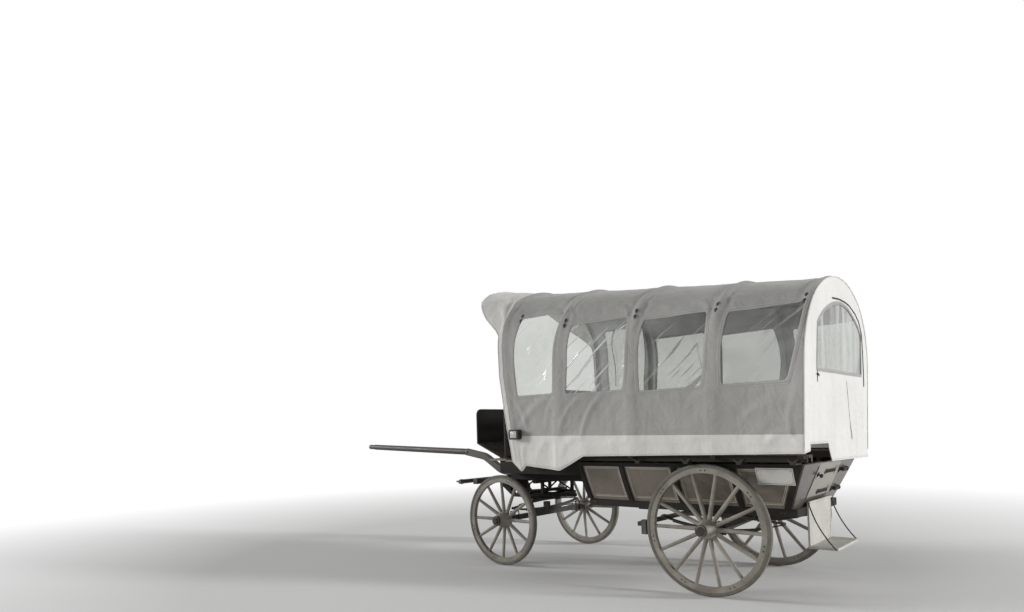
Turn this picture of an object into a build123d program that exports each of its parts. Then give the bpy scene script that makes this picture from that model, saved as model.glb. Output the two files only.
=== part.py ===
from build123d import *
import os
from math import asin, cos, radians, sin, sqrt

os.makedirs("parts", exist_ok=True)

# A covered wagonette: a boat-shaped wooden tub on elliptic springs and four spoked wheels,
# a turntable fore-carriage with a pole, and a hooped canvas cover with clear windows.
# Millimetres. X runs forward, Y to the left, Z up. While modelling, x = 0 is the rear axle
# and z = 0 the ground. At the end everything is moved so that the origin lies on the ground
# under the middle of the whole vehicle.

# Wheels
rear_wheel_d = 1080.0
front_wheel_d = 936.0
rear_spokes = 14
front_spokes = 12
wheelbase = 2274.0
rear_track = 1466.0
front_track = 1500.0
tyre_w = 46.0
tyre_t = 30.0
tyre_edge_r = 8.0
felloe_w = 40.0
felloe_t = 46.0
dish = 36.0
spoke_root_w = 36.0
spoke_root_t = 34.0
spoke_tip_w = 28.0
spoke_tip_t = 26.0
nave_in = 105.0
nave_out = 97.0
nave_r = 84.0
nave_end_r = 54.0
nave_nose_r = 44.0
band_t = 6.0
band_w = 20.0
cap_len = 20.0
cap_wall = 7.0

# Axles
axle_bed = 50.0
arm_r = 19.0
arm_gap = 0.05
hub_play = 1.0
arm_past_nave = 8.0

# Springs
spring_w = 50.0
leaf_t = 9.0
leaf_count = 4
leaf_step = 0.2
eye_r = 14.0
rear_spring_len = 1060.0
rear_spring_low = 75.0
front_spring_room = 190.0
front_spring_low = 38.0
front_spring_rise = 38.0
buffer_w = 56.0
buffer_gap = 18.0

# Tub: its top stands between the rear wheels, its side flares out from the sill
tyre_room = 10.0
tub_flare = 177.0
rib_t = 20.0
tub_out_y = rear_track / 2 - tyre_w / 2 - tyre_room
tub_top_y = tub_out_y - rib_t
tub_low_y = tub_top_y - tub_flare
sill_w = 65.0
sill_h = 65.0
sill_z = 652.0
tub_top_z = 1080.0
tub_bulge = 12.0
tub_wall = 18.0
tub_front_x = wheelbase - 961.0
tail_low_x = -605.0
tail_top_x = -765.0
rib_w = 44.0
rib_steps = [23.0, 483.0, 1003.0, 1533.0]
top_rail_h = 36.0
floor_t = 22.0
cross_w = 70.0
cross_front_step = 43.0
tail_bar_w = 50.0
rear_spring_y = tub_low_y - sill_w / 2

# Tail door, step and its irons
door_half_w = 286.0
door_gap = 4.0
door_low = 80.0
door_top_gap = 3.0
hinge_r = 6.5
hinge_len = 45.0
hinge_knuckle = 14.0
hinge_gap = 0.5
hinge_vs = [122.0, 305.0]
hinge_leaf_t = 4.0
hinge_leaf_w = 100.0
hinge_stand = 1.0
step_half_w = 285.0
step_board_t = 15.0
step_drop = 345.0
step_depth = 220.0
step_bar_r = 11.0
stay_r = 5.0
stay_sag = 26.0
seat_gap = 0.3

# Benches, side rails and V brackets
rail_out = 65.0
side_rail_y = tub_out_y + rail_out
side_rail_w = 35.0
side_rail_h = 50.0
side_rail_z = 1100.0
side_rail_front = wheelbase - 124.0
side_rail_rear = -836.0
bench_depth = 405.0
bench_in_y = side_rail_y - bench_depth
bench_rail_w = 40.0
bench_board_t = 22.0
bench_lift = 18.0
bench_boards = 4
bench_board_gap = 12.0
bench_front_x = tub_front_x - 13.0
bench_rear_x = -740.0
bench_cross_xs = [bench_front_x - 120.0, 581.0, 123.0, -327.0, -560.0]
bracket_xs = [581.0, 123.0, -327.0, -737.0]
bracket_t = 8.0
bracket_half_w = 48.0
bracket_arm = 16.0
strap_w = 36.0
back_rest_z = 1400.0
back_rest_h = 110.0
back_rest_t = 18.0

plate_low = 915.0
plate_top = 1050.0
plate_xs = (-696.0, -407.0)

# Cover, hoops and windows
cover_room = 60.0
cover_shoulder = 260.0
cover_half_w = side_rail_y + side_rail_w + cover_room
cover_top_half = cover_half_w - cover_shoulder
cover_t = 3.0
cover_top_sag = 70.0
cover_rear_x = -842.0
cover_rear_crown = 2590.0
cover_slope = 0.130
hem_rear_z = 1170.0
front_hoop_x = wheelbase - 169.0
hoop_xs = [-812.0, -138.0, 617.0, 1414.0, front_hoop_x]
hoop_r = 13.0
hoop_foot_h = 24.0
rail_r = 10.0
window_gap = 0.4
pane_t = 1.6
curtain_t = 3.0

# One row for each window from the rear: low z, high z, then the distance from the hoop behind
# and from the hoop ahead, at the low edge and at the high edge
windows = [
    (1711.0, 2330.0, 67.0, 83.0, 42.0, 89.0),
    (1713.0, 2375.0, 83.0, 83.0, 67.0, 85.0),
    (1729.0, 2425.0, 82.0, 80.0, 83.0, 102.0),
    (1748.0, 2560.0, 80.0, 155.0, 10.0, 142.0)]

# Front edge of the cover from the hem up to the bonnet: distance ahead of the front hoop, height
cover_front = [
    (-986.0, 1150.0), (-705.0, 1008.0), (-279.0, 1048.0), (-225.0, 988.0), (-105.0, 1085.0),
    (-34.0, 1454.0), (43.0, 1947.0), (52.0, 2250.0), (59.0, 2442.0), (242.0, 2640.0),
    (365.0, 2820.0), (455.0, 2950.0)]
bonnet_reach = 595.0
bonnet_top_z = 3200.0

# Lower edge of the rear curtain between its two corners: y, z
curtain_low = [(713.0, 1196.0), (707.0, 1241.0), (297.0, 1232.0), (219.0, 1092.0)]
curtain_corner_z = 1078.0
rear_window_half_w = 560.0
rear_window_low = 1795.0
rear_window_side = 2110.0
rear_window_top = 2330.0

# Driver's platform
beam_y = 340.0
beam_w = 60.0
beam_z = 865.0
beam_h = 80.0
boot_front_x = wheelbase + 146.0
beam_front_x = boot_front_x + 30.0
boot_half_w = side_rail_y - 165.0
boot_wall = 18.0
deck_t = 20.0
deck_half_w = side_rail_y + side_rail_w
deck_nose_half_w = 620.0
deck_front_x = boot_front_x + 140.0
dash_x = deck_front_x + 271.0
dash_low_z = 1262.0
dash_top_z = 1660.0
dash_half_w = 520.0
dash_t = 18.0
dash_corner_r = 70.0
toe_rise_x = deck_front_x - 90.0
toe_board_t = 40.0
toe_iron_r = 11.0
seat_rear_x = side_rail_front - 530.0
seat_depth = 400.0
seat_box_half_w = side_rail_y - 205.0
seat_board_z = 1440.0
seat_board_t = 24.0
cushion_t = 70.0
cushion_inset = 12.0
seat_back_top = 1800.0
seat_back_h = 190.0
seat_post_y = 480.0

# Turntable and fore-carriage
ring_r = 335.0
ring_w = 44.0
ring_t = 12.0
ring_gap = 0.3
transom_step = 165.0
transom_w = 50.0
transom_h = 40.0
post_s = 30.0
brace_r = 9.0
bolster_w = 90.0
bolster_h = 36.0
bolster_past_ring = 15.0
futchell_y = 150.0
futchell_w = 50.0
futchell_rear = 300.0
king_pin_r = 15.0
splinter_x = wheelbase + 521.0
splinter_low = 815.0
splinter_half_len = 620.0
splinter_s = 60.0
pole_h = 84.0
pole_w = 64.0
pole_root_x = splinter_x - 130.0
pole_bed_w = 40.0
pole_bed_top_half = 70.0
pole_rise_x = splinter_x + 140.0
pole_bend_x = splinter_x + 430.0
pole_bend_z = 1094.0
pole_bend_r = 300.0
pole_knee_x = splinter_x + 765.0
pole_knee_z = 1152.0
pole_tip_x = splinter_x + 2825.0
pole_tip_z = 1226.0
pole_tip_r = 32.0
pole_tip_len = 120.0
swingle_y = 400.0
swingle_x = splinter_x + 135.0
swingle_half_len = 330.0
swingle_r = 24.0
swingle_pin_r = 9.0
swingle_pin_step = 56.0
swingle_pin_x = splinter_x + swingle_pin_step
lug_t = 6.0
trace_in = 30.0
trace_shoulder_r = 15.0
trace_shoulder = 6.0
trace_stud_r = 9.0
trace_stud_len = 50.0

# Reflectors on the sills and a lamp on each side of the cover
reflector_in = 60.0
lamp_behind_hoop = 115.0
lamp_w = 122.0
lamp_h = 100.0
lamp_t = 58.0
lamp_low = 1310.0

# Brake
shoe_gap = 8.0
shoe_t = 45.0
shoe_half_angle = 6.5
brake_beam_z = 548.0
brake_beam_s = 36.0

rear_hub_z = rear_wheel_d / 2
front_hub_z = front_wheel_d / 2
sill_top = sill_z + sill_h
past_side = cover_half_w + 40
brake_beam_x = rear_wheel_d / 2 + shoe_gap + shoe_t + brake_beam_s / 2


def block(x0, x1, y0, y1, z0, z1):
    return Pos((x0 + x1) / 2, (y0 + y1) / 2, (z0 + z1) / 2) * Box(x1 - x0, y1 - y0, z1 - z0)


def both(left):
    return [left, mirror(left, about=Plane.XZ)]


def side_prism(outline, y0, y1):
    face = Plane.XZ * make_face(outline)
    return Pos(0, y0, 0) * extrude(face, amount=y1 - y0, dir=(0, 1, 0))


def end_prism(outline, x0, x1):
    face = Plane.YZ * make_face(outline)
    return Pos(x0, 0, 0) * extrude(face, amount=x1 - x0, dir=(1, 0, 0))


def closed(*points):
    return Polyline(*points, close=True)


def cross_bar(x, z, y0, y1, radius):
    return Pos(x, (y0 + y1) / 2, z) * Rot(90, 0, 0) * Cylinder(radius, y1 - y0)


def rod(start, end, radius):
    a = Vector(*start)
    b = Vector(*end)
    plane = Plane(origin=a, z_dir=b - a)
    return extrude(plane * Circle(radius), amount=(b - a).length)


def fused(pieces):
    whole = pieces[0]
    for piece in pieces[1:]:
        whole = whole + piece
    return whole


def spin_y(outline):
    return revolve(Plane.XY * make_face(outline), axis=Axis.Y)


# Section of a shaved spoke
def eight_sided(width, depth):
    a, b = width / 2, depth / 2
    c, d = a * 0.45, b * 0.45
    return make_face(closed((a, -d), (a, d), (c, b), (-c, b), (-a, d), (-a, -d), (-c, -b), (c, -b)))


# One wheel about the Y axis, with its outer side towards +Y
def make_wheel(diameter, spokes):
    rim_r = diameter / 2
    felloe_r = rim_r - tyre_t
    felloe_in = felloe_r - felloe_t
    half_tyre = tyre_w / 2
    half_felloe = felloe_w / 2
    edge = tyre_edge_r
    tyre = spin_y(closed(
        (felloe_r, -half_tyre), (rim_r - edge, -half_tyre), (rim_r, edge - half_tyre),
        (rim_r, half_tyre - edge), (rim_r - edge, half_tyre), (felloe_r, half_tyre)))
    felloe = spin_y(closed(
        (felloe_in, -half_felloe), (felloe_r, -half_felloe),
        (felloe_r, half_felloe), (felloe_in, half_felloe)))
    bore = arm_r + arm_gap
    nave = spin_y(closed(
        (bore, -nave_in), (nave_end_r, -nave_in), (nave_end_r, band_w - nave_in),
        (nave_r, -dish - 24), (nave_r, -dish + 24), (nave_nose_r + 14, nave_out - band_w - 26),
        (nave_nose_r, nave_out - band_w), (nave_nose_r, nave_out), (bore, nave_out)))
    root = Vector(nave_r - 8, -dish, 0)
    tip = Vector(felloe_in + 6, -3, 0)
    along = tip - root
    root_face = Plane(origin=root, x_dir=(0, 0, 1), z_dir=along) * eight_sided(spoke_root_w, spoke_root_t)
    tip_face = Plane(origin=tip, x_dir=(0, 0, 1), z_dir=along) * eight_sided(spoke_tip_w, spoke_tip_t)
    spoke = loft([root_face, tip_face], ruled=True)
    wood = nave + felloe
    wood = wood + [Rot(0, 360 * k / spokes, 0) * spoke for k in range(spokes)]
    inner_band = spin_y(closed(
        (nave_end_r, -nave_in), (nave_end_r + band_t, -nave_in),
        (nave_end_r + band_t, band_w - nave_in), (nave_end_r, band_w - nave_in)))
    outer_band = spin_y(closed(
        (nave_nose_r, nave_out - band_w), (nave_nose_r + band_t, nave_out - band_w),
        (nave_nose_r + band_t, nave_out), (nave_nose_r, nave_out)))
    cap_end = nave_out + cap_len
    cap = spin_y(closed(
        (arm_r + cap_wall - 1, nave_out), (nave_nose_r - cap_wall, nave_out),
        (nave_nose_r - cap_wall, cap_end - 6), (nave_nose_r - cap_wall - 8, cap_end), (0, cap_end),
        (0, cap_end - cap_wall), (arm_r + cap_wall - 1, cap_end - cap_wall)))
    return {"wood": [wood], "tyre": [tyre], "irons": [inner_band, outer_band, cap]}


def place_wheel(shapes, x, z, track, side):
    placed = []
    for shape in shapes:
        turned = shape if side > 0 else mirror(shape, about=Plane.XZ)
        placed.append(Pos(x, side * track / 2, z) * turned)
    return placed


def make_axle(x, z, track):
    bed_half = track / 2 - nave_in - hub_play
    arm_end = track / 2 + nave_out + arm_past_nave
    bed = block(x - axle_bed / 2, x + axle_bed / 2, -bed_half, bed_half, z - axle_bed / 2, z + axle_bed / 2)
    return bed + cross_bar(x, z, -arm_end, arm_end, arm_r)


# One half of an elliptic spring in the XZ plane: stacked leaves on one centre.
# The eye line is at z = 0. A lower half hangs below it, an upper half stands above it.
def leaf_stack(length, rise, up):
    radius = (length * length / 4 + rise * rise) / (2 * rise)
    half_angle = asin(length / 2 / radius)
    centre = -(radius - rise) if up else radius - rise
    sense = 1 if up else -1
    leaves = []
    for k in range(leaf_count):
        inner = radius + k * leaf_t
        outer = inner + leaf_t
        a = half_angle * (1 - leaf_step * k)
        def at(r, angle):
            return (r * sin(angle), centre + sense * r * cos(angle))
        outline = [
            ThreePointArc(at(inner, -a), at(inner, 0), at(inner, a)),
            Line(at(inner, a), at(outer, a)),
            ThreePointArc(at(outer, a), at(outer, 0), at(outer, -a)),
            Line(at(outer, -a), at(inner, -a))]
        leaves.append(side_prism(outline, -spring_w / 2, spring_w / 2))
    return fused(leaves)


def make_spring(x, y, bottom_z, length, low, high):
    eye_z = bottom_z + leaf_count * leaf_t + low
    lower = leaf_stack(length, low, False)
    upper = leaf_stack(length, high, True)
    eyes = [cross_bar(s * length / 2, 0, -spring_w / 2, spring_w / 2, eye_r) for s in (-1, 1)]
    return Pos(x, y, eye_z) * fused([lower, upper] + eyes)


def spring_top(bottom_z, low, high):
    return bottom_z + 2 * leaf_count * leaf_t + low + high


# The front spring lies across the vehicle on the axle, under the turntable
def make_front_spring():
    length = front_track - 2 * front_spring_room
    spring = make_spring(0, 0, front_spring_bottom, length, front_spring_low, front_spring_rise)
    return Pos(wheelbase, 0, 0) * Rot(0, 0, 90) * spring


# Rubber buffer on the lower half of the front spring
def make_buffer():
    low = front_spring_bottom + leaf_count * leaf_t
    high = bolster_low - leaf_count * leaf_t - buffer_gap
    half = buffer_w / 2
    return block(wheelbase - half, wheelbase + half, -half, half, low, high)


# Half breadth of the tub's outer face at a height: a line from sill to rail with a slight belly
def tub_y(z):
    share = (z - sill_top) / (tub_top_z - sill_top)
    straight = tub_low_y + share * (tub_top_y - tub_low_y)
    return straight + tub_bulge * (1 - (2 * share - 1) ** 2)


def tub_band(z0, z1, out0, out1):
    mid = (z0 + z1) / 2
    return [
        ThreePointArc((tub_y(z0) + out0, z0), (tub_y(mid) + out0, mid), (tub_y(z1) + out0, z1)),
        Line((tub_y(z1) + out0, z1), (tub_y(z1) + out1, z1)),
        ThreePointArc((tub_y(z1) + out1, z1), (tub_y(mid) + out1, mid), (tub_y(z0) + out1, z0)),
        Line((tub_y(z0) + out1, z0), (tub_y(z0) + out0, z0))]


def tail_x(z):
    return tail_low_x + (tail_top_x - tail_low_x) * (z - sill_top) / (tub_top_z - sill_top)


behind_tail = side_prism(closed(
    (tail_x(sill_z - 40), sill_z - 40), (tail_x(tub_top_z + 40), tub_top_z + 40),
    (tail_top_x - 400, tub_top_z + 40), (tail_top_x - 400, sill_z - 40)), -past_side, past_side)


def make_side_panel():
    return end_prism(tub_band(sill_top, tub_top_z, -tub_wall, 0), tail_top_x - 20, tub_front_x) - behind_tail


def make_side_frame():
    pieces = [end_prism(tub_band(tub_top_z - top_rail_h, tub_top_z, 0, rib_t), tail_top_x - 20, tub_front_x)]
    for step in rib_steps:
        x = tub_front_x - step
        pieces.append(end_prism(tub_band(sill_top, tub_top_z, 0, rib_t), x - rib_w / 2, x + rib_w / 2))
    slanted = end_prism(tub_band(sill_top, tub_top_z, 0, rib_t), tail_top_x - 20, tail_low_x + rib_w)
    ahead = side_prism(closed(
        (tail_x(sill_z - 40) + rib_w, sill_z - 40), (tail_x(tub_top_z + 40) + rib_w, tub_top_z + 40),
        (tail_low_x + 400, tub_top_z + 40), (tail_low_x + 400, sill_z - 40)), -past_side, past_side)
    pieces.append(slanted - ahead)
    return fused(pieces) - behind_tail


# The tail's own plane: local x runs to the right of the vehicle, local y up the slope
slope = Vector(tail_top_x - tail_low_x, 0, tub_top_z - sill_top)
tail_len = slope.length
tail_up = slope.normalized()
tail_out = Vector(-tail_up.Z, 0, tail_up.X)
tail_plane = Plane(origin=(tail_low_x, 0, sill_top), x_dir=(0, -1, 0), z_dir=tail_out)


def tub_outline_end(half_low, half_mid, half_top, low, top):
    return [
        Line((-half_low, low), (half_low, low)),
        ThreePointArc((half_low, low), (half_mid, (low + top) / 2), (half_top, top)),
        Line((half_top, top), (-half_top, top)),
        ThreePointArc((-half_top, top), (-half_mid, (low + top) / 2), (-half_low, low))]


mid_y = tub_y((sill_top + tub_top_z) / 2)


def tail_prism(outline, near, far):
    face = tail_plane * make_face(outline)
    return Pos(*(tail_out * near)) * extrude(face, amount=far - near, dir=tail_out)


def tail_box(x0, x1, v0, v1, near, far):
    return tail_prism(closed((x0, v0), (x1, v0), (x1, v1), (x0, v1)), near, far)


def make_tail():
    plate = tail_prism(tub_outline_end(tub_low_y, mid_y, tub_top_y, 0, tail_len), 0, tub_wall)
    hole_half = door_half_w + door_gap
    plate = plate - tail_box(-hole_half, hole_half, door_low - door_gap, tail_len + 30, -5, tub_wall + 5)
    return plate - block(tail_low_x - 100, tail_low_x + 20, -tub_top_y, tub_top_y, sill_z, sill_top)


def hinge_barrel(v0, v1):
    local = Plane(origin=tail_plane.from_local_coords((hinge_u, v0, hinge_out)), z_dir=tail_up)
    return extrude(local * Circle(hinge_r), amount=v1 - v0)


hinge_u = door_half_w + door_gap / 2
hinge_out = tub_wall + hinge_r + hinge_stand


def make_door():
    top = tail_len - door_top_gap
    board = tail_box(-door_half_w, door_half_w, door_low, top, 0, tub_wall)
    pieces = [board]
    for v in hinge_vs:
        reach = hinge_len / 2 + hinge_knuckle
        pieces.append(tail_box(door_half_w - hinge_leaf_w, door_half_w - 9, v - reach, v + reach,
                               tub_wall, tub_wall + hinge_leaf_t))
        for low, high in ((v - reach, v - hinge_len / 2 - hinge_gap), (v + hinge_len / 2 + hinge_gap, v + reach)):
            pieces.append(hinge_barrel(low, high))
            pieces.append(tail_box(door_half_w - 12, door_half_w, low, high, tub_wall, hinge_out))
            pieces.append(tail_box(door_half_w - 2, hinge_u, low, high, tub_wall + hinge_leaf_t, hinge_out))
    return fused(pieces)


def make_door_hinges():
    pieces = []
    for v in hinge_vs:
        leaf = tail_box(hinge_u + 3, hinge_u + hinge_leaf_w, v - hinge_len / 2, v + hinge_len / 2,
                        tub_wall, tub_wall + hinge_leaf_t)
        link = tail_box(hinge_u, hinge_u + 6, v - hinge_len / 2, v + hinge_len / 2,
                        tub_wall + 0.5, hinge_out)
        pieces.append(fused([leaf, link, hinge_barrel(v - hinge_len / 2, v + hinge_len / 2)]))
    return pieces


# Cover: a flat-topped arch with round shoulders; its crown climbs evenly towards the front
top_radius = (cover_top_half ** 2 + cover_top_sag ** 2) / (2 * cover_top_sag)
top_angle = asin(cover_top_half / top_radius)
shoulder_r = (cover_half_w - cover_top_half) / (1 - sin(top_angle))


def crown(x):
    return cover_rear_crown + cover_slope * (x - cover_rear_x)


def arch_points(x, inset):
    top = crown(x)
    r = shoulder_r - inset
    start_z = top - cover_top_sag - shoulder_r * cos(top_angle)
    centre_y = cover_half_w - shoulder_r
    half = (radians(90) - top_angle) / 2
    return {
        "side": (cover_half_w - inset, start_z),
        "bend": (centre_y + r * cos(half), start_z + r * sin(half)),
        "shoulder": (centre_y + r * sin(top_angle), start_z + r * cos(top_angle)),
        "crown": (0, top - inset)}


def flip(point):
    return (-point[0], point[1])


def arch_edges(x, inset, low):
    p = arch_points(x, inset)
    foot = (cover_half_w - inset, low)
    return [
        Line(foot, p["side"]),
        ThreePointArc(p["side"], p["bend"], p["shoulder"]),
        ThreePointArc(p["shoulder"], p["crown"], flip(p["shoulder"])),
        ThreePointArc(flip(p["shoulder"]), flip(p["bend"]), flip(p["side"])),
        Line(flip(p["side"]), flip(foot))]


def arch_face(x, inset, low):
    edges = arch_edges(x, inset, low)
    edges.append(Line((inset - cover_half_w, low), (cover_half_w - inset, low)))
    return Pos(x, 0, 0) * (Plane.YZ * make_face(edges))


def arch_loft(x0, x1, inset, low):
    return loft([arch_face(x0, inset, low), arch_face(x1, inset, low)], ruled=True)


# Side outline of the cover: hem, the diagonal to the front corner, the front edge and the bonnet
bonnet_x = front_hoop_x + bonnet_reach
cover_outline = closed(
    (cover_rear_x, hem_rear_z), *[(front_hoop_x + ahead, z) for ahead, z in cover_front],
    (bonnet_x, bonnet_top_z), (cover_rear_x, bonnet_top_z))
under_hem = min(z for ahead, z in cover_front) - 88


def window_outline(k, grow):
    low, high, low_rear, low_front, high_rear, high_front = windows[k]
    behind, ahead = hoop_xs[k], hoop_xs[k + 1]
    return closed(
        (behind + low_rear - grow, low - grow), (ahead - low_front + grow, low - grow),
        (ahead - high_front + grow, high + grow), (behind + high_rear - grow, high + grow))


def window_block(k, grow):
    return side_prism(window_outline(k, grow), cover_half_w - cover_shoulder, cover_half_w + 20)


def make_cover():
    outer = arch_loft(cover_rear_x - 60, bonnet_x + 60, 0, under_hem)
    inner = arch_loft(cover_rear_x - 80, bonnet_x + 80, cover_t, under_hem - 40)
    shell = (outer - inner) & side_prism(cover_outline, -past_side, past_side)
    for k in range(len(windows)):
        for hole in both(window_block(k, 0)):
            shell = shell - hole
    return shell


def make_panes():
    slack = (cover_t - pane_t) / 2
    skin = (arch_loft(cover_rear_x, front_hoop_x, slack, under_hem)
            - arch_loft(cover_rear_x - 20, front_hoop_x + 20, slack + pane_t, under_hem - 40))
    return [skin & window_block(k, -window_gap) for k in range(len(windows))]


def make_curtain():
    inset = cover_t + seat_gap
    whole = arch_face(cover_rear_x, inset, under_hem)
    plate = extrude(whole, amount=curtain_t, dir=(1, 0, 0))
    corner = cover_half_w - cover_t
    below = end_prism(closed(
        (past_side, hem_rear_z), (corner, hem_rear_z), *curtain_low, (-corner, curtain_corner_z),
        (-past_side, curtain_corner_z), (-past_side, under_hem - 40), (past_side, under_hem - 40)),
        cover_rear_x - 10, cover_rear_x + 20)
    return plate - below - end_prism(rear_window_edges(0), cover_rear_x - 10, cover_rear_x + 20)


def rear_window_edges(shrink):
    half = rear_window_half_w - shrink
    low = rear_window_low + shrink
    side = rear_window_side
    top = rear_window_top - shrink
    return [
        Line((-half, low), (half, low)),
        Line((half, low), (half, side)),
        ThreePointArc((half, side), (0, top), (-half, side)),
        Line((-half, side), (-half, low))]


def make_rear_pane():
    slack = (curtain_t - pane_t) / 2
    return end_prism(rear_window_edges(window_gap), cover_rear_x + slack, cover_rear_x + slack + pane_t)


hoop_inset = cover_t + seat_gap + hoop_r
side_rail_top = side_rail_z + side_rail_h
hoop_foot_low = side_rail_top - hoop_foot_h


def make_hoop(x):
    path = Wire([Plane.YZ * e for e in arch_edges(x, hoop_inset, side_rail_top)])
    start = Plane(origin=(0, cover_half_w - hoop_inset, side_rail_top), z_dir=(0, 0, 1))
    tube = sweep(start * Circle(hoop_r), path=path)
    return Pos(x, 0, 0) * tube


# Lengthwise tubes that tie the hoops together, one below the crown and one on each shoulder
def make_hoop_rails():
    rails = []
    drop = hoop_inset + hoop_r + rail_r + seat_gap
    for key in ("crown", "shoulder"):
        x0 = hoop_xs[0] - 12
        x1 = hoop_xs[-1] + 12
        a = arch_points(x0, drop)[key]
        b = arch_points(x1, drop)[key]
        rails.append(rod((x0, a[0], a[1]), (x1, b[0], b[1]), rail_r))
    return [rails[0]] + both(rails[1])


# Side rail with a foot block for each hoop
def make_side_rail():
    rail = block(side_rail_rear, side_rail_front, side_rail_y, side_rail_y + side_rail_w, side_rail_z, side_rail_top)
    feet_out = cover_half_w - cover_t - seat_gap
    feet = [block(x - 22, x + 22, side_rail_y + side_rail_w, feet_out, hoop_foot_low, side_rail_top)
            for x in hoop_xs]
    return fused([rail] + feet)


def make_bracket(x):
    out = side_rail_y + side_rail_w
    foot = tub_top_z
    top = hoop_foot_low - 2
    half = bracket_half_w
    arm = bracket_arm
    vee = side_prism(closed(
        (x - arm / 2, foot), (x + arm / 2, foot), (x + half, top), (x + half - arm, top),
        (x, foot + arm * 1.6), (x - half + arm, top), (x - half, top)), out, out + bracket_t)
    strap = block(x - strap_w / 2, x + strap_w / 2, tub_top_y - 20, out + bracket_t, foot, foot + bracket_t)
    lift = block(x - strap_w / 2, x + strap_w / 2, side_rail_y, out, foot + bracket_t, side_rail_z)
    return fused([vee, strap, lift])


bench_low = side_rail_z
bench_top = side_rail_z + bench_board_t + bench_lift


def make_bench():
    frame_low = bench_low - 20
    inner = block(bench_rear_x, bench_front_x, bench_in_y, bench_in_y + bench_rail_w, frame_low, bench_top - bench_board_t)
    pieces = [inner]
    width = side_rail_y - bench_in_y
    board = (width - (bench_boards - 1) * bench_board_gap) / bench_boards
    for k in range(bench_boards):
        y0 = bench_in_y + k * (board + bench_board_gap)
        pieces.append(block(bench_rear_x, bench_front_x, y0, y0 + board, bench_top - bench_board_t, bench_top))
    for x in bench_cross_xs:
        pieces.append(block(x - 20, x + 20, bench_in_y + bench_rail_w, side_rail_y, side_rail_z, bench_top - bench_board_t))
        pieces.append(block(x - 20, x + 20, bench_in_y, bench_in_y + bench_rail_w, sill_top + floor_t, frame_low))
    return fused(pieces)


def make_back_rest():
    out = cover_half_w - hoop_inset - hoop_r
    return block(side_rail_rear + 20, tub_front_x + tub_wall, out - back_rest_t, out, back_rest_z, back_rest_z + back_rest_h)


def make_sill():
    return block(tail_low_x, tub_front_x, tub_low_y - sill_w, tub_low_y, sill_z, sill_top)


def make_cross_members():
    inner = tub_low_y - sill_w
    places = [0, tub_front_x / 2, tub_front_x - cross_front_step]
    bars = [block(x - cross_w / 2, x + cross_w / 2, -inner, inner, sill_z, sill_top) for x in places]
    bars.append(block(tail_low_x - tail_bar_w, tail_low_x, -tub_low_y, tub_low_y, sill_z, sill_top))
    return bars


def make_floor():
    half = tub_low_y - tub_wall - 1
    return block(tail_low_x + 12, tub_front_x, -half, half, sill_top, sill_top + floor_t)


def make_front_wall():
    return end_prism(tub_outline_end(tub_low_y, mid_y, tub_top_y, sill_top, tub_top_z),
                     tub_front_x, tub_front_x + tub_wall)


front_start = tub_front_x + tub_wall
deck_top = side_rail_z


def make_front_beam():
    return block(front_start, beam_front_x, beam_y, beam_y + beam_w, beam_z, beam_z + beam_h)


def make_boot():
    low = beam_z + beam_h
    high = deck_top - deck_t
    outer = block(front_start, boot_front_x, -boot_half_w, boot_half_w, low, high)
    inner = block(front_start + boot_wall, boot_front_x - boot_wall, boot_wall - boot_half_w,
                  boot_half_w - boot_wall, low + boot_wall, high + 5)
    return outer - inner


def make_deck():
    low = deck_top - deck_t
    wide = block(front_start, side_rail_front, -deck_half_w, deck_half_w, low, deck_top)
    nose = block(side_rail_front, deck_front_x, -deck_nose_half_w, deck_nose_half_w, low, deck_top)
    return wide + nose


def make_toe_board():
    outline = closed(
        (toe_rise_x - toe_board_t, deck_top), (toe_rise_x, deck_top), (dash_x, dash_low_z - 6),
        (dash_x, dash_low_z + 14))
    return side_prism(outline, -dash_half_w, dash_half_w)


def make_dash():
    outline = Pos(0, (dash_low_z + dash_top_z) / 2) * RectangleRounded(
        2 * dash_half_w, dash_top_z - dash_low_z, dash_corner_r)
    square = Pos(0, dash_low_z + 50) * Rectangle(2 * dash_half_w, 100)
    return Pos(dash_x, 0, 0) * extrude(Plane.YZ * (outline + square), amount=dash_t)


def make_toe_iron():
    y = beam_y + beam_w / 2
    iron = rod((beam_front_x - 20, y, beam_z + 30), (dash_x - 60, y, dash_low_z), toe_iron_r)
    above = side_prism(closed(
        (toe_rise_x, deck_top), (dash_x, dash_low_z - 6),
        (dash_x, dash_low_z + 200), (toe_rise_x, dash_low_z + 200)), beam_y - 10, beam_y + beam_w + 10)
    return iron - make_front_beam() - above


def make_seat_box():
    x0, x1 = seat_rear_x, seat_rear_x + seat_depth
    outer = block(x0, x1, -seat_box_half_w, seat_box_half_w, deck_top, seat_board_z)
    inner = block(x0 + 18, x1 - 18, 18 - seat_box_half_w, seat_box_half_w - 18, deck_top + 18, seat_board_z)
    board = block(x0 - 10, x1 + 25, -seat_box_half_w - 10, seat_box_half_w + 10,
                  seat_board_z, seat_board_z + seat_board_t)
    return (outer - inner) + board


def make_cushion():
    x0, x1 = seat_rear_x, seat_rear_x + seat_depth
    low = seat_board_z + seat_board_t + seat_gap
    pad = block(x0 + 30, x1 + 15, cushion_inset - seat_box_half_w, seat_box_half_w - cushion_inset,
                low, low + cushion_t)
    return fillet(pad.edges().filter_by(Axis.Z), 30)


def make_seat_back():
    x0 = seat_rear_x
    low = seat_board_z + seat_board_t
    half = seat_box_half_w - 20
    board = block(x0 - 18, x0, -half, half, seat_back_top - seat_back_h, seat_back_top)
    posts = [block(x0 - 18, x0, y - 22, y + 22, low, seat_back_top - seat_back_h)
             for y in (-seat_post_y, 0, seat_post_y)]
    return fused([board] + posts)


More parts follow.
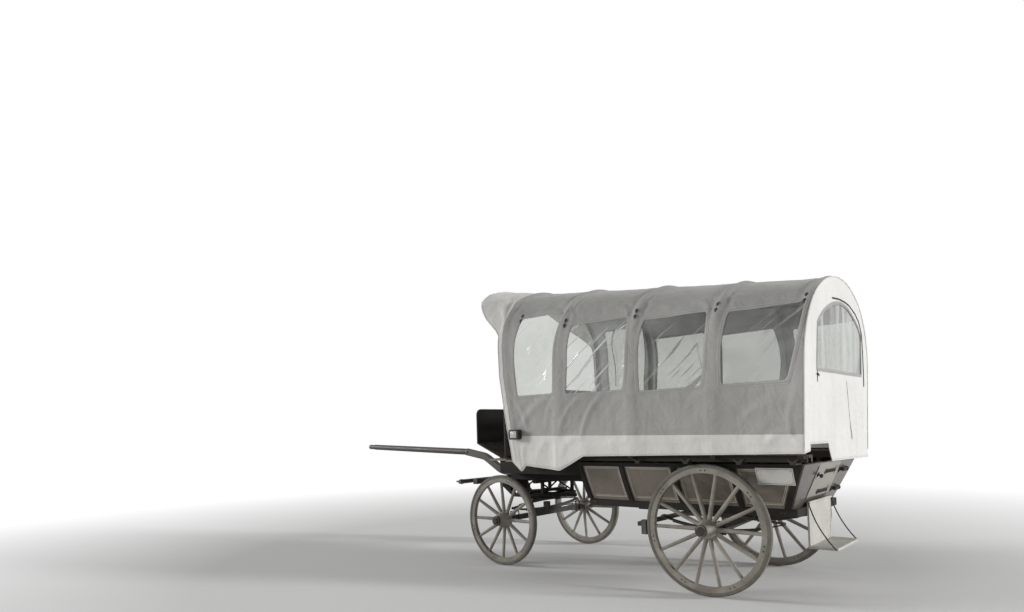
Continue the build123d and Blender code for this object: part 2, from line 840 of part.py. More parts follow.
# Turntable: the body's ring with its posts up to the platform, and the fore-carriage's ring
front_spring_bottom = front_hub_z + axle_bed / 2
bolster_low = spring_top(front_spring_bottom, front_spring_low, front_spring_rise)
ring_low = bolster_low + bolster_h
ring_top_low = ring_low + ring_t + ring_gap
ring_top_high = ring_top_low + ring_t


def make_ring(low):
    flat = Circle(ring_r) - Circle(ring_r - ring_w)
    return Pos(wheelbase, 0, low) * extrude(flat, amount=ring_t)


def make_turntable_top():
    cross = block(wheelbase - 40, wheelbase + 40, -ring_r, ring_r, ring_top_high, ring_top_high + 26)
    pieces = [make_ring(ring_top_low), cross]
    ring_mid = ring_r - ring_w / 2
    post_y = sqrt(ring_mid ** 2 - transom_step ** 2)
    half = post_s / 2
    transom_low = beam_z - transom_h
    for end in (-1, 1):
        x = wheelbase + end * transom_step
        pieces.append(block(x - transom_w / 2, x + transom_w / 2, -beam_y - beam_w, beam_y + beam_w,
                            transom_low, beam_z))
        for side in (-1, 1):
            y = side * post_y
            pieces.append(block(x - half, x + half, y - half, y + half, ring_top_low, transom_low))
            pieces.append(rod((x, 0, transom_low + brace_r), (x, y, ring_top_high), brace_r))
    hole = Pos(wheelbase, 0, ring_top_high) * Cylinder(king_pin_r, 120)
    below = Pos(wheelbase, 0, ring_top_low - 50) * Box(2 * ring_r, 2 * ring_r, 100)
    return fused(pieces) - hole - below


def make_king_pin():
    low = bolster_low + 2
    high = ring_top_high + 26
    pin = Pos(wheelbase, 0, (low + high) / 2) * Cylinder(king_pin_r, high - low)
    head = Pos(wheelbase, 0, high + 6) * Cylinder(king_pin_r + 12, 12)
    return pin + head


# Bolster, lower ring and two futchells that rise ahead of the ring to carry the splinter bar
def make_fore_frame():
    half_len = ring_r + bolster_past_ring
    bolster = block(wheelbase - bolster_w / 2, wheelbase + bolster_w / 2, -half_len, half_len, bolster_low, ring_low)
    pieces = [bolster, make_ring(ring_low)]
    flat_end = wheelbase + ring_r + 10
    rise_end = splinter_x - splinter_s / 2
    nose = splinter_x + splinter_s / 2
    futchell = side_prism(closed(
        (wheelbase - futchell_rear, bolster_low), (flat_end + 14, bolster_low), (nose, splinter_low - bolster_h),
        (nose, splinter_low), (rise_end, splinter_low), (flat_end, ring_low), (wheelbase - futchell_rear, ring_low)),
        futchell_y - futchell_w / 2, futchell_y + futchell_w / 2)
    pieces += both(futchell)
    foot_half = futchell_y + futchell_w / 2
    share = (pole_root_x - flat_end) / (rise_end - flat_end)
    bed_low = ring_low + share * (splinter_low - ring_low) - 10
    top = splinter_low + splinter_s
    pieces.append(end_prism(closed(
        (-foot_half, bed_low), (foot_half, bed_low), (foot_half, bed_low + 40), (pole_bed_top_half, top),
        (-pole_bed_top_half, top), (-foot_half, bed_low + 40)), pole_root_x, pole_root_x + pole_bed_w))
    hole = Pos(wheelbase, 0, bolster_low) * Cylinder(king_pin_r + arm_gap, 200)
    return fused(pieces) - hole


def make_splinter_bar():
    half = splinter_s / 2
    bar = block(splinter_x - half, splinter_x + half, -splinter_half_len, splinter_half_len,
                splinter_low, splinter_low + splinter_s)
    pins = [Pos(swingle_pin_x, s * swingle_y, tree_z) * Cylinder(swingle_pin_r, splinter_s + 2) for s in (-1, 1)]
    lugs = []
    for s in (-1, 1):
        for low in (splinter_low + 2, splinter_low + splinter_s - 2 - lug_t):
            lugs.append(block(splinter_x + half, swingle_pin_x + 14, s * swingle_y - 16, s * swingle_y + 16,
                              low, low + lug_t))
    return fused([bar] + lugs + pins)


tree_z = splinter_low + splinter_s / 2


# Each trace stud stands on a shoulder in the collar near the end of the bar
def make_swingletree(side):
    y = side * swingle_y
    bar = cross_bar(swingle_x, tree_z, y - swingle_half_len, y + swingle_half_len, swingle_r)
    eye = block(swingle_pin_x - 14, swingle_x, y - 14, y + 14, tree_z - 14, tree_z + 14)
    hole = Pos(swingle_pin_x, y, tree_z) * Cylinder(swingle_pin_r + arm_gap, 80)
    pieces = [bar, eye]
    seat = swingle_x + swingle_r + trace_shoulder
    for s in (-1, 1):
        at = y + s * (swingle_half_len - trace_in)
        pieces.append(cross_bar(swingle_x, tree_z, at - 11, at + 11, swingle_r + 4))
        pieces.append(rod((swingle_x, at, tree_z), (seat, at, tree_z), trace_shoulder_r))
        pieces.append(rod((swingle_x, at, tree_z), (seat + trace_stud_len, at, tree_z), trace_stud_r))
    return fused(pieces) - hole


def make_pole():
    level = splinter_low + splinter_s + pole_h / 2
    route = [(pole_root_x, level), (pole_rise_x, level), (pole_bend_x, pole_bend_z), (pole_knee_x, pole_knee_z)]
    path = Plane.XZ * FilletPolyline(*route, radius=pole_bend_r)
    start = Plane(origin=(pole_root_x, 0, level), z_dir=(1, 0, 0))
    neck = sweep(start * RectangleRounded(pole_h, pole_w, 12), path=path)
    knee = Vector(pole_knee_x, 0, pole_knee_z)
    tip = Vector(pole_tip_x, 0, pole_tip_z)
    along = (tip - knee).normalized()
    shoulder = tip - along * pole_tip_len
    thick = Plane(origin=knee - along * 40, z_dir=along) * Circle(pole_w * 0.62)
    thin = Plane(origin=shoulder, z_dir=along) * Circle(pole_tip_r + 5)
    ferrule = rod(tuple(shoulder), tuple(tip), pole_tip_r)
    return neck + loft([thick, thin], ruled=True) + ferrule


def make_brake_shoe():
    inner = rear_wheel_d / 2 + shoe_gap
    back = brake_beam_x - brake_beam_s / 2
    a = radians(shoe_half_angle)
    drop = radians(2)

    def at(r, angle):
        return (r * cos(angle), rear_hub_z + r * sin(angle))

    outline = [
        ThreePointArc(at(inner, -a - drop), at(inner, -drop), at(inner, a - drop)),
        Line(at(inner, a - drop), (back, at(inner, a - drop)[1])),
        Line((back, at(inner, a - drop)[1]), (back, at(inner, -a - drop)[1])),
        Line((back, at(inner, -a - drop)[1]), at(inner, -a - drop))]
    half = tyre_w / 2
    return side_prism(outline, rear_track / 2 - half, rear_track / 2 + half)


def make_brake_beam():
    half = brake_beam_s / 2
    reach = rear_track / 2 + tyre_w / 2
    bar = block(brake_beam_x - half, brake_beam_x + half, -reach, reach, brake_beam_z - half, brake_beam_z + half)
    hanger_y = tub_low_y - sill_w / 2
    pieces = [bar]
    for s in (-1, 1):
        y = s * hanger_y
        pieces.append(block(brake_beam_x - 10, brake_beam_x + 30, y - 7, y + 7, brake_beam_z, sill_z))
        pieces.append(block(brake_beam_x - 10, brake_beam_x + 170, y - 7, y + 7, sill_z - 14, sill_z))
    return fused(pieces)


def make_step():
    top_z = sill_top + 30
    x1 = tail_low_x - tail_bar_w
    x0 = x1 - step_board_t
    low = top_z - step_drop
    riser = block(x0, x1, -step_half_w, step_half_w, low, top_z)
    tread = block(x1 - step_depth, x1, -step_half_w, step_half_w, low - 20, low)
    bar = cross_bar(x0, top_z, -step_half_w, step_half_w, step_bar_r)
    return fused([riser, tread, bar])


def make_stay():
    top_z = sill_top + 30
    x1 = tail_low_x - tail_bar_w - step_board_t
    y = step_half_w + seat_gap + stay_r
    a = Vector(x1, y, top_z)
    b = Vector(tail_low_x - tail_bar_w - step_depth + 12, y, top_z - step_drop - 10)
    chord = b - a
    side = Vector(-chord.Z, 0, chord.X).normalized()
    middle = (a + b) * 0.5 - side * stay_sag
    if middle.X < ((a + b) * 0.5).X:
        middle = (a + b) * 0.5 + side * stay_sag
    path = ThreePointArc(a, middle, b)
    start = Plane(origin=a, z_dir=path % 0)
    return sweep(start * Circle(stay_r), path=path)


def make_plate():
    near = rib_t + seat_gap
    return end_prism(tub_band(plate_low, plate_top, near, near + 2), plate_xs[0], plate_xs[1])


def make_reflectors():
    pieces = []
    for x in (tub_front_x - reflector_in, tail_low_x + reflector_in):
        z = sill_z + sill_h / 2
        pieces += both(block(x - 26, x + 26, tub_low_y, tub_low_y + 4, z - 8, z + 8))
    return pieces


def make_lamp():
    out = cover_half_w + seat_gap
    front = front_hoop_x - lamp_behind_hoop
    case = block(front - lamp_w, front, out, out + lamp_t, lamp_low, lamp_low + lamp_h)
    return fillet(case.edges().filter_by(Axis.Y), 18)


nodes = {}
wheel_kinds = {
    "rear": (make_wheel(rear_wheel_d, rear_spokes), 0, rear_hub_z, rear_track),
    "front": (make_wheel(front_wheel_d, front_spokes), wheelbase, front_hub_z, front_track)}
for place, (kit, x, z, track) in wheel_kinds.items():
    for side_name, side in (("left", 1), ("right", -1)):
        for piece, shapes in kit.items():
            nodes["wheel_" + place + "_" + side_name + "_" + piece] = place_wheel(shapes, x, z, track, side)


rear_spring_bottom = rear_hub_z - axle_bed / 2 - leaf_count * leaf_t - seat_gap
rear_spring_rise = sill_z - rear_spring_bottom - 2 * leaf_count * leaf_t - rear_spring_low
nodes["rear_axle"] = [make_axle(0, rear_hub_z, rear_track)]
nodes["rear_springs"] = both(make_spring(
    0, rear_spring_y, rear_spring_bottom, rear_spring_len, rear_spring_low, rear_spring_rise))
nodes["underframe"] = [fused(both(make_sill()) + make_cross_members())] + both(make_front_beam())
nodes["floor"] = [make_floor()]
nodes["side_panels"] = both(make_side_panel())
nodes["side_frames"] = both(make_side_frame())
nodes["front_wall"] = [make_front_wall()]
nodes["tail_panel"] = [make_tail()]
nodes["tail_door"] = [make_door()]
nodes["step"] = [make_step()]
nodes["side_rails"] = both(make_side_rail())
nodes["body_irons"] = ([b for x in bracket_xs for b in both(make_bracket(x))] + both(make_toe_iron())
                       + make_door_hinges() + both(make_stay()))
nodes["benches"] = both(make_bench()) + both(make_back_rest())
nodes["cover"] = [make_cover()]
nodes["windows"] = [w for pane in make_panes() for w in both(pane)] + [make_rear_pane()]
nodes["rear_curtain"] = [make_curtain()]
nodes["hoops"] = [make_hoop(x) for x in hoop_xs]
nodes["hoop_rails"] = make_hoop_rails()
nodes["boot"] = [make_boot()]
nodes["deck"] = [make_deck()]
nodes["dash"] = [make_toe_board() + make_dash()]
nodes["driver_seat"] = [make_seat_box() + make_seat_back()]
nodes["driver_cushion"] = [make_cushion()]
nodes["turntable_top"] = [make_turntable_top() + make_king_pin()]
nodes["brake_beam"] = [make_brake_beam()]
nodes["brake_shoes"] = both(make_brake_shoe())
nodes["blank_plate"] = [make_plate()]
nodes["lamps"] = make_reflectors() + both(make_lamp())
nodes["front_axle"] = [make_axle(wheelbase, front_hub_z, front_track)]
nodes["front_springs"] = [make_front_spring() + make_buffer()]
nodes["fore_frame"] = [make_fore_frame()]
nodes["splinter_bar"] = [make_splinter_bar()]
nodes["pole"] = [make_pole()]
nodes["swingletree_left"] = [make_swingletree(1)]
nodes["swingletree_right"] = [make_swingletree(-1)]

span = Compound(children=[Compound(children=shape.solids()) for shapes in nodes.values()
                          for shape in shapes]).bounding_box()
shift = -(span.min.X + span.max.X) / 2
for name, shapes in nodes.items():
    solids = [s for shape in shapes for s in (Pos(shift, 0, 0) * shape).solids()]
    whole = Compound(children=solids) if len(solids) > 1 else solids[0]
    export_step(whole, "parts/" + name + ".step")
print("origin moved by", round(shift, 3))
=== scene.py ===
"""A horse wagonette with a windowed canvas cover: finishes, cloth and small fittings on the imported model.

Sizes and places are in millimetres, with x measured forward from the rear axle; P turns them into metres.
"""
import random
from functools import partial
from math import asin, cos, exp, hypot, pi, radians, sin, sqrt

import bmesh
import bpy
from mathutils import Matrix, Vector, noise
from mathutils.bvhtree import BVHTree


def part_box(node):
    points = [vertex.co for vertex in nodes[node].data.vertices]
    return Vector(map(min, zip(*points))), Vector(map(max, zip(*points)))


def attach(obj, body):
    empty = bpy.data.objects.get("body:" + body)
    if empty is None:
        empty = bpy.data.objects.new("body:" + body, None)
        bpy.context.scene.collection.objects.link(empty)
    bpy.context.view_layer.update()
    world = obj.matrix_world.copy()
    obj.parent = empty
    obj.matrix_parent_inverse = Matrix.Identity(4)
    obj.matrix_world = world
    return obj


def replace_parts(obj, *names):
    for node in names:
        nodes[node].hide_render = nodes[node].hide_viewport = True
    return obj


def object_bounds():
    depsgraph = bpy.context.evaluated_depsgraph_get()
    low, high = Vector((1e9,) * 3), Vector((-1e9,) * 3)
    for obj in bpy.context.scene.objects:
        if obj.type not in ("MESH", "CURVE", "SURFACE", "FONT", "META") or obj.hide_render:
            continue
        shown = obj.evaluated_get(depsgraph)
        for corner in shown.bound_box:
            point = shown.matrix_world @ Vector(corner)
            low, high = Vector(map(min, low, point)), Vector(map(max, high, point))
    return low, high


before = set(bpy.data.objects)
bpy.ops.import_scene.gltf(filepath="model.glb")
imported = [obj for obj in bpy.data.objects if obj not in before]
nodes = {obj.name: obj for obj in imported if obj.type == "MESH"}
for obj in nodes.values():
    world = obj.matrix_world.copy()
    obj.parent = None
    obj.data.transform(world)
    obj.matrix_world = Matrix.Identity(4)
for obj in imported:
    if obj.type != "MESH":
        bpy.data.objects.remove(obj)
cad_low, cad_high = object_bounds()
scene = bpy.context.scene

MM = 0.001
axle_low, axle_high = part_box("rear_axle")
rear_axle_x = (axle_low.x + axle_high.x) / 2
floor_z = cad_low.z


def P(x, y, z):
    return Vector((rear_axle_x + x * MM, y * MM, z * MM))


def mix(a, b, t):
    return a + (b - a) * t


def even(first, last, count):
    """Numbers from first to last in count equal steps."""
    return [mix(first, last, i / count) for i in range(count + 1)]


def limit(value, low, high):
    return max(low, min(high, value))


def smooth(low, high, value):
    t = limit((value - low) / (high - low), 0.0, 1.0)
    return t * t * (3 - 2 * t)


def bell(value, width):
    return exp(-(value / width) ** 2)


def along_table(table, value):
    """Value of a two-column table between its rows, and the end rows' values past its ends."""
    if value <= table[0][0]:
        return table[0][1]
    for (a, fa), (b, fb) in zip(table, table[1:]):
        if value <= b:
            return mix(fa, fb, (value - a) / (b - a))
    return table[-1][1]


def rough(a, b, c):
    """Smooth noise between about minus one and one."""
    return noise.noise(Vector((a, b, c)))


def tint(color, share):
    return tuple(c * share for c in color)


def link_object(name, data):
    thing = bpy.data.objects.new(name, data)
    scene.collection.objects.link(thing)
    return thing


class Shader:
    """Short calls for the nodes of one shader tree."""

    def __init__(self, tree):
        self.tree = tree

    def put(self, socket, value):
        if hasattr(value, "is_output"):
            self.tree.links.new(value, socket)
        elif socket.type == "RGBA":
            socket.default_value = (*value, 1)
        else:
            socket.default_value = value

    def node(self, kind, output, inputs=None, **settings):
        """Adds a node, fills its inputs with numbers or links, and gives back one output."""
        node = self.tree.nodes.new("ShaderNode" + kind)
        for key, value in settings.items():
            setattr(node, key, value)
        for key, value in (inputs or {}).items():
            if value is not None:
                self.put(node.inputs[key], value)
        return node.outputs[output]

    def math(self, operation, a, b=0.0):
        return self.node("Math", 0, {0: a, 1: b}, operation=operation)

    def spread(self, value, low, high, to_low=0.0, to_high=1.0):
        return self.node("MapRange", "Result", {"Value": value, "From Min": low, "From Max": high,
                                                "To Min": to_low, "To Max": to_high})

    def seen_directly(self):
        """One for rays from the camera and for transmitted ones, less for reflected ones."""
        path = self.node("LightPath", "Is Camera Ray")
        rays = path.node.outputs
        total = self.math("MAXIMUM", path, self.math("MULTIPLY", rays["Is Glossy Ray"], glossy_share))
        return self.math("MAXIMUM", total, rays["Is Transmission Ray"])


class Finish(Shader):
    def __init__(self, name, color):
        self.material = bpy.data.materials.new(name)
        self.material.use_nodes = True
        self.material.diffuse_color = (*color, 1)
        super().__init__(self.material.node_tree)
        self.tree.nodes.clear()
        self.out = self.tree.nodes.new("ShaderNodeOutputMaterial")
        self.place = self.node("TexCoord", "Object")

    def scaled(self, x, y, z, turn=(0, 0, 0)):
        """Place turned first and then stretched, so that the stretch can run at a slant."""
        inputs = {"Vector": self.place, "Rotation": turn, "Scale": (1 / x, 1 / y, 1 / z)}
        return self.node("Mapping", "Vector", inputs, vector_type="TEXTURE")

    def noise(self, scale, detail=3.0, roughness=0.55, where=None, distortion=0.0):
        inputs = {"Vector": where or self.place, "Scale": scale, "Detail": detail,
                  "Roughness": roughness, "Distortion": distortion}
        return self.node("TexNoise", "Fac", inputs)

    def cells(self, scale):
        return self.node("TexVoronoi", "Distance", {"Vector": self.place, "Scale": scale},
                         feature="DISTANCE_TO_EDGE")

    def blend(self, amount, a, b):
        return self.node("Mix", 2, {"Factor": amount, 6: a, 7: b}, data_type="RGBA")

    def patch(self, tone, source, low, high, share, other):
        """The tone with up to a share of another where the source rises from low to high."""
        return self.blend(self.spread(source, low, high, 0.0, share), tone, other)

    def axis(self, source, name):
        return self.node("SeparateXYZ", name, {0: source})

    def bump(self, height, distance, strength=1.0, normal=None):
        return self.node("Bump", "Normal", {"Height": height, "Distance": distance, "Strength": strength,
                                            "Normal": normal})

    def soft_edges(self, radius):
        return self.node("Bevel", "Normal", {"Radius": radius}, samples=4)

    def edges(self, radius):
        """One on sharp edges, falling to zero on the faces."""
        inputs = {0: self.soft_edges(radius), 1: self.node("NewGeometry", "Normal")}
        return self.spread(self.node("VectorMath", "Value", inputs, operation="DOT_PRODUCT"), 0.995, 0.86)

    def dusted(self, color, amount, up_amount):
        """Road dust: heavier low down and on faces that look up."""
        low = self.spread(self.axis(self.place, "Z"), dust_top, dust_foot)
        patches = self.spread(self.noise(9.0, 5.0, 0.65), 0.35, 0.7)
        up = self.spread(self.axis(self.node("NewGeometry", "Normal"), "Z"), 0.35, 0.95, 0.0, up_amount)
        total = self.math("MULTIPLY", self.math("ADD", self.math("MULTIPLY", low, amount), up), patches)
        return self.blend(total, color, dust_color)

    def surface(self, color, roughness, normal, **sockets):
        inputs = {"Base Color": color, "Roughness": roughness, "Normal": normal}
        inputs.update((key.replace("_", " "), value) for key, value in sockets.items())
        self.shader = self.node("BsdfPrincipled", "BSDF", inputs)
        self.put(self.out.inputs["Surface"], self.shader)
        return self.material

    def mix_over(self, amount, under, over):
        self.put(self.out.inputs["Surface"], self.node("MixShader", 0, {0: amount, 1: under, 2: over}))
        return self.material


glossy_share = 0.45
dust_color = (0.36, 0.325, 0.27)
dust_top = 0.75
dust_foot = 0.05
rust_color = (0.17, 0.105, 0.066)
bare_iron = (0.26, 0.24, 0.22)
streak_turn = 0.69
thread_size = 0.0034
plank_grain = (2.0, 22.0, 22.0)
wheel_grain = (16.0, 16.0, 16.0)


def worn_wood(name, color, light, grain=(2.0, 26.0, 26.0), gloss=0.45, wear=0.6, dust=0.35, edge=0.003):
    """Painted or bare timber: long grain, rubbed edges, dust and a fine bump."""
    f = Finish(name, color)
    fibre = f.noise(3.0, 6.0, 0.62, f.scaled(*grain), 0.6)
    blotch = f.noise(5.0, 4.0)
    tone = f.patch(color, fibre, 0.32, 0.7, 1.0, tint(color, 0.72))
    tone = f.patch(tone, blotch, 0.42, 0.72, 0.45, light)
    scuffs = f.math("MULTIPLY", f.edges(edge), f.spread(f.noise(28.0, 4.0), 0.36, 0.62, 0.0, wear))
    tone = f.dusted(f.blend(scuffs, tone, light), dust, dust)
    gloss_map = f.spread(blotch, 0.3, 0.75, gloss, min(gloss + 0.25, 0.95))
    return f.surface(tone, gloss_map, f.bump(fibre, 0.0012, 0.35, f.soft_edges(edge)))


def worn_iron():
    """Black painted iron: fine pits, rubbed edges, some rust and dust."""
    color = (0.035, 0.033, 0.031)
    f = Finish("black_iron_worn", color)
    pits = f.noise(55.0, 5.0, 0.7)
    tone = f.patch(color, pits, 0.4, 0.7, 0.5, tint(color, 1.9))
    tone = f.patch(tone, f.noise(7.0, 5.0, 0.7), 0.5, 0.72, 0.3, rust_color)
    rubbed = f.math("MULTIPLY", f.edges(0.002), f.spread(pits, 0.4, 0.6, 0.0, 0.6))
    tone = f.dusted(f.blend(rubbed, tone, bare_iron), 0.2, 0.2)
    normal = f.bump(pits, 0.0006, 0.5, f.soft_edges(0.0016))
    return f.surface(tone, f.spread(pits, 0.3, 0.7, 0.5, 0.8), normal, Metallic=0.1, Specular_IOR_Level=0.25)


def dusty_rubber():
    color = (0.070, 0.066, 0.058)
    f = Finish("dusty_rubber", color)
    specks = f.noise(90.0, 4.0, 0.7)
    film = f.spread(f.noise(14.0, 5.0, 0.65), 0.3, 0.7, 0.25, 0.75)
    tone = f.blend(film, color, (0.235, 0.215, 0.18))
    tone = f.patch(tone, specks, 0.5, 0.75, 0.5, (0.07, 0.068, 0.062))
    return f.surface(tone, 0.82, f.bump(specks, 0.0008, 0.5, f.soft_edges(0.004)))


def coach_paint(name, color, gloss=0.16, coat=0.35, shine=0.5):
    """Dark varnished coach paint: fine orange peel, faint scratches, dust and a clear coat."""
    f = Finish(name, color)
    cloud = f.noise(4.0, 4.0, 0.6)
    scratch = f.noise(6.0, 5.0, 0.7, f.scaled(3.0, 30.0, 60.0, (0, 0.2, 0)))
    tone = f.patch(color, cloud, 0.35, 0.7, 0.5, tint(color, 1.35))
    tone = f.patch(tone, scratch, 0.62, 0.75, 0.35, tint(color, 2.0))
    tone = f.dusted(tone, 0.28, 0.22)
    gloss_map = f.spread(cloud, 0.3, 0.75, gloss, gloss + 0.2)
    peel = f.bump(f.noise(70.0, 2.0), 0.0004, 0.5, f.soft_edges(0.003))
    return f.surface(tone, gloss_map, peel, Coat_Weight=coat, Coat_Roughness=0.12, Specular_IOR_Level=shine)


def canvas(name, color, shade, crumple=0.006, streaks=0.22):
    """Heavy coated canvas: a plain weave, crumple creases, and rain streaks that run down."""
    f = Finish(name, color)
    turns = 2 * pi / thread_size
    around = f.math("ADD", f.axis(f.place, "Y"), f.axis(f.place, "Z"))
    threads = [f.math("SINE", f.math("MULTIPLY", line, turns)) for line in (f.axis(f.place, "X"), around)]
    cloud = f.noise(1.6, 5.0, 0.6)
    soft = f.noise(5.5, 4.0, 0.55, f.scaled(1.0, 1.0, 0.7, (0.3, 0.5, 0.2)), 0.5)
    crease = f.math("ABSOLUTE", f.math("SUBTRACT", f.noise(6.5, 3.0, 0.5, None, 0.8), 0.5))
    run = f.noise(2.2, 5.0, 0.6, f.scaled(7.0, 7.0, 0.7))
    tone = f.patch(color, cloud, 0.36, 0.68, 0.75, shade)
    tone = f.patch(tone, run, 0.5, 0.72, streaks, tint(shade, 0.72))
    tone = f.patch(tone, f.noise(160.0, 2.0), 0.3, 0.7, 0.14, tint(color, 0.8))
    normal = f.bump(soft, crumple * 3.0, 0.55)
    normal = f.bump(f.spread(crease, 0.0, 0.11), crumple, 0.3, normal)
    normal = f.bump(f.math("MULTIPLY", *threads), 0.0004, 0.35, normal)
    return f.surface(tone, f.spread(cloud, 0.3, 0.7, 0.62, 0.8), normal, Sheen_Weight=0.12)


def clear_foil(name, haze_low, haze_high, streaks, stretch=(1.0, 1.0, 1.6)):
    """Clear flexible sheet: see-through but milky, glossy and wrinkled, with diagonal streaks where it turns
    milky as painted highlight.
    """
    f = Finish(name, (0.8, 0.82, 0.8))
    haze = f.spread(f.noise(1.5, 4.0, 0.5, f.scaled(*stretch), 0.4), 0.35, 0.7, haze_low, haze_high)
    slant = f.noise(2.0, 3.0, 0.5, f.scaled(0.8, 1.0, 13.0, (0, streak_turn, 0)), 0.25)
    # The streaks turn the sheet milky: painted highlight. Their bump below gives real reflections too.
    amount = f.math("MAXIMUM", haze, f.spread(slant, 0.56, 0.66, 0.0, streaks))
    ripple = f.noise(3.0, 3.0, 0.5, f.scaled(1.0, 1.0, 0.6, (0, 0.5, 0)), 0.4)
    normal = f.bump(slant, 0.004 + 0.01 * streaks, 0.5, f.bump(ripple, 0.008, 0.5))
    f.surface((0.80, 0.81, 0.79), 0.12, normal)
    # Grazing angles show more of the milky glossy face: a painted sheen for the sheet's reflection there.
    grazing_sheen = f.math("POWER", f.node("LayerWeight", "Facing"), 3.0)
    amount = f.math("MAXIMUM", amount, f.math("MULTIPLY", grazing_sheen, 0.8))
    return f.mix_over(amount, f.node("BsdfTransparent", 0, {"Color": (0.84, 0.85, 0.83)}), f.shader)


def leather(name, color):
    f = Finish(name, color)
    cloud = f.noise(9.0, 4.0)
    tone = f.dusted(f.patch(color, cloud, 0.35, 0.7, 1.0, tint(color, 1.7)), 0.2, 0.12)
    soft = f.bump(f.noise(16.0, 3.0), 0.004, 0.35)
    normal = f.bump(f.spread(f.cells(260.0), 0.0, 0.25), 0.0008, 0.4, soft)
    return f.surface(tone, f.spread(cloud, 0.3, 0.7, 0.38, 0.56), normal)


def enamel(name, color):
    """Old enamel with small chips down to the metal."""
    f = Finish(name, color)
    cloud = f.noise(16.0, 5.0, 0.65)
    tone = f.patch(color, cloud, 0.4, 0.75, 0.55, tint(color, 0.68))
    tone = f.patch(tone, f.noise(60.0, 4.0), 0.68, 0.74, 1.0, (0.16, 0.12, 0.09))
    normal = f.bump(cloud, 0.0015, 0.3, f.soft_edges(0.002))
    return f.surface(tone, f.spread(cloud, 0.3, 0.7, 0.2, 0.4), normal)


def lens_plastic(name, color):
    """Lamp and reflector plastic: small prisms under a clear face."""
    f = Finish(name, color)
    prisms = f.spread(f.cells(150.0), 0.0, 0.3)
    tone = f.dusted(f.blend(prisms, color, tint(color, 1.8)), 0.2, 0.2)
    film = f.spread(f.noise(12.0, 4.0), 0.3, 0.7, 0.12, 0.3)
    return f.surface(tone, film, f.bump(prisms, 0.001, 0.5), Coat_Weight=0.4)


def ribbed_webbing():
    color = (0.035, 0.034, 0.033)
    f = Finish("black_webbing", color)
    ribs = f.noise(220.0, 2.0)
    tone = f.patch(color, ribs, 0.35, 0.7, 1.0, tint(color, 2.2))
    return f.surface(tone, 0.7, f.bump(ribs, 0.0006, 0.6))


finishes = {
    "wheel_paint": worn_wood("weathered_wheel_wood", (0.225, 0.205, 0.172), (0.56, 0.53, 0.46),
                             wheel_grain, 0.38, 0.75, 0.3, 0.004),
    "rubber_tyre": dusty_rubber(),
    "black_iron": worn_iron(),
    "dark_paint": coach_paint("dark_coach_paint", (0.045, 0.04, 0.036), 0.3),
    "panel_paint": coach_paint("panel_coach_paint", (0.185, 0.155, 0.128)),
    "varnished_wood": worn_wood("varnished_timber", (0.055, 0.040, 0.030), (0.12, 0.09, 0.065),
                                gloss=0.4, dust=0.12),
    "bare_wood": worn_wood("bare_planks", (0.30, 0.25, 0.19), (0.40, 0.35, 0.28), plank_grain, 0.7, 0.4),
    # The walls' and roof's canvas is a darker copy of the canvas colour: painted shade.
    "canvas": canvas("cover_canvas_shaded", (0.435, 0.43, 0.41), (0.35, 0.345, 0.328), 0.006),
    "clear_sheet": clear_foil("clear_window_foil", 0.08, 0.26, 0.25),
    "cushion_leather": leather("seat_leather", (0.06, 0.05, 0.044)),
    "white_plate": enamel("blank_enamel", (0.66, 0.65, 0.61)),
    "lamp_plastic": lens_plastic("lens_plastic", (0.30, 0.13, 0.085)),
}
iron = finishes["black_iron"]
# Lighter copy of the canvas for the lower band, hems and stitches: painted light, as lit from the bright
# ground below.
canvas_band_lit = canvas("cover_lower_band_lit", (0.82, 0.805, 0.765), (0.70, 0.685, 0.64), 0.004, 0.18)
# Lighter copy of the canvas for the rear curtain: painted sunlight.
canvas_rear_sunlit = canvas("rear_canvas_sunlit", (0.82, 0.81, 0.785), (0.72, 0.71, 0.68), 0.010, 0.10)
# Lighter copy of the canvas for the bonnet: painted light.
canvas_bonnet_lit = canvas("bonnet_canvas_lit", (0.78, 0.77, 0.74), (0.66, 0.65, 0.62), 0.008, 0.15)
canvas_welt = canvas("window_welt_canvas", (0.40, 0.395, 0.375), (0.32, 0.315, 0.30), 0.002, 0.15)
# The third window's sheet has strong milky streaks: painted highlight.
loose_foil = clear_foil("loose_window_foil", 0.10, 0.26, 0.85)
rear_foil = clear_foil("rear_window_foil", 0.10, 0.80, 0.3, (1.0, 3.6, 0.7))
lens_pale = lens_plastic("pale_lens", (0.42, 0.40, 0.36))
strap_leather = leather("strap_leather", (0.03, 0.027, 0.024))
black_webbing = ribbed_webbing()
frame_paint = coach_paint("frame_paint", (0.026, 0.023, 0.020), 0.6, 0.0, 0.15)
dark_timber = worn_wood("dark_pole_timber", (0.060, 0.052, 0.045), (0.17, 0.15, 0.125), gloss=0.4, dust=0.2)
pale_planks = worn_wood("pale_step_planks", (0.58, 0.56, 0.52), (0.70, 0.68, 0.63), plank_grain, 0.6, 0.4)
pale_line = enamel("pale_coach_line", (0.72, 0.68, 0.58))

own_finish = {"tail_door": coach_paint("pale_tail_paint", (0.27, 0.25, 0.218), 0.2),
              "tail_panel": coach_paint("tail_frame_paint", (0.10, 0.090, 0.078), 0.2),
              "step": pale_planks, "lamps": iron}
own_finish.update(dict.fromkeys(("pole", "splinter_bar", "swingletree_left", "swingletree_right",
                                 "brake_shoes"), dark_timber))
own_finish.update(dict.fromkeys(("underframe", "side_frames", "front_wall", "side_rails", "boot", "dash",
                                 "driver_seat", "fore_frame", "turntable_top"), frame_paint))


def dress_nodes():
    for name, node in nodes.items():
        for place in node.material_slots:
            kind = place.material.name.split(".")[0]
            place.material = own_finish.get(name, finishes[kind])


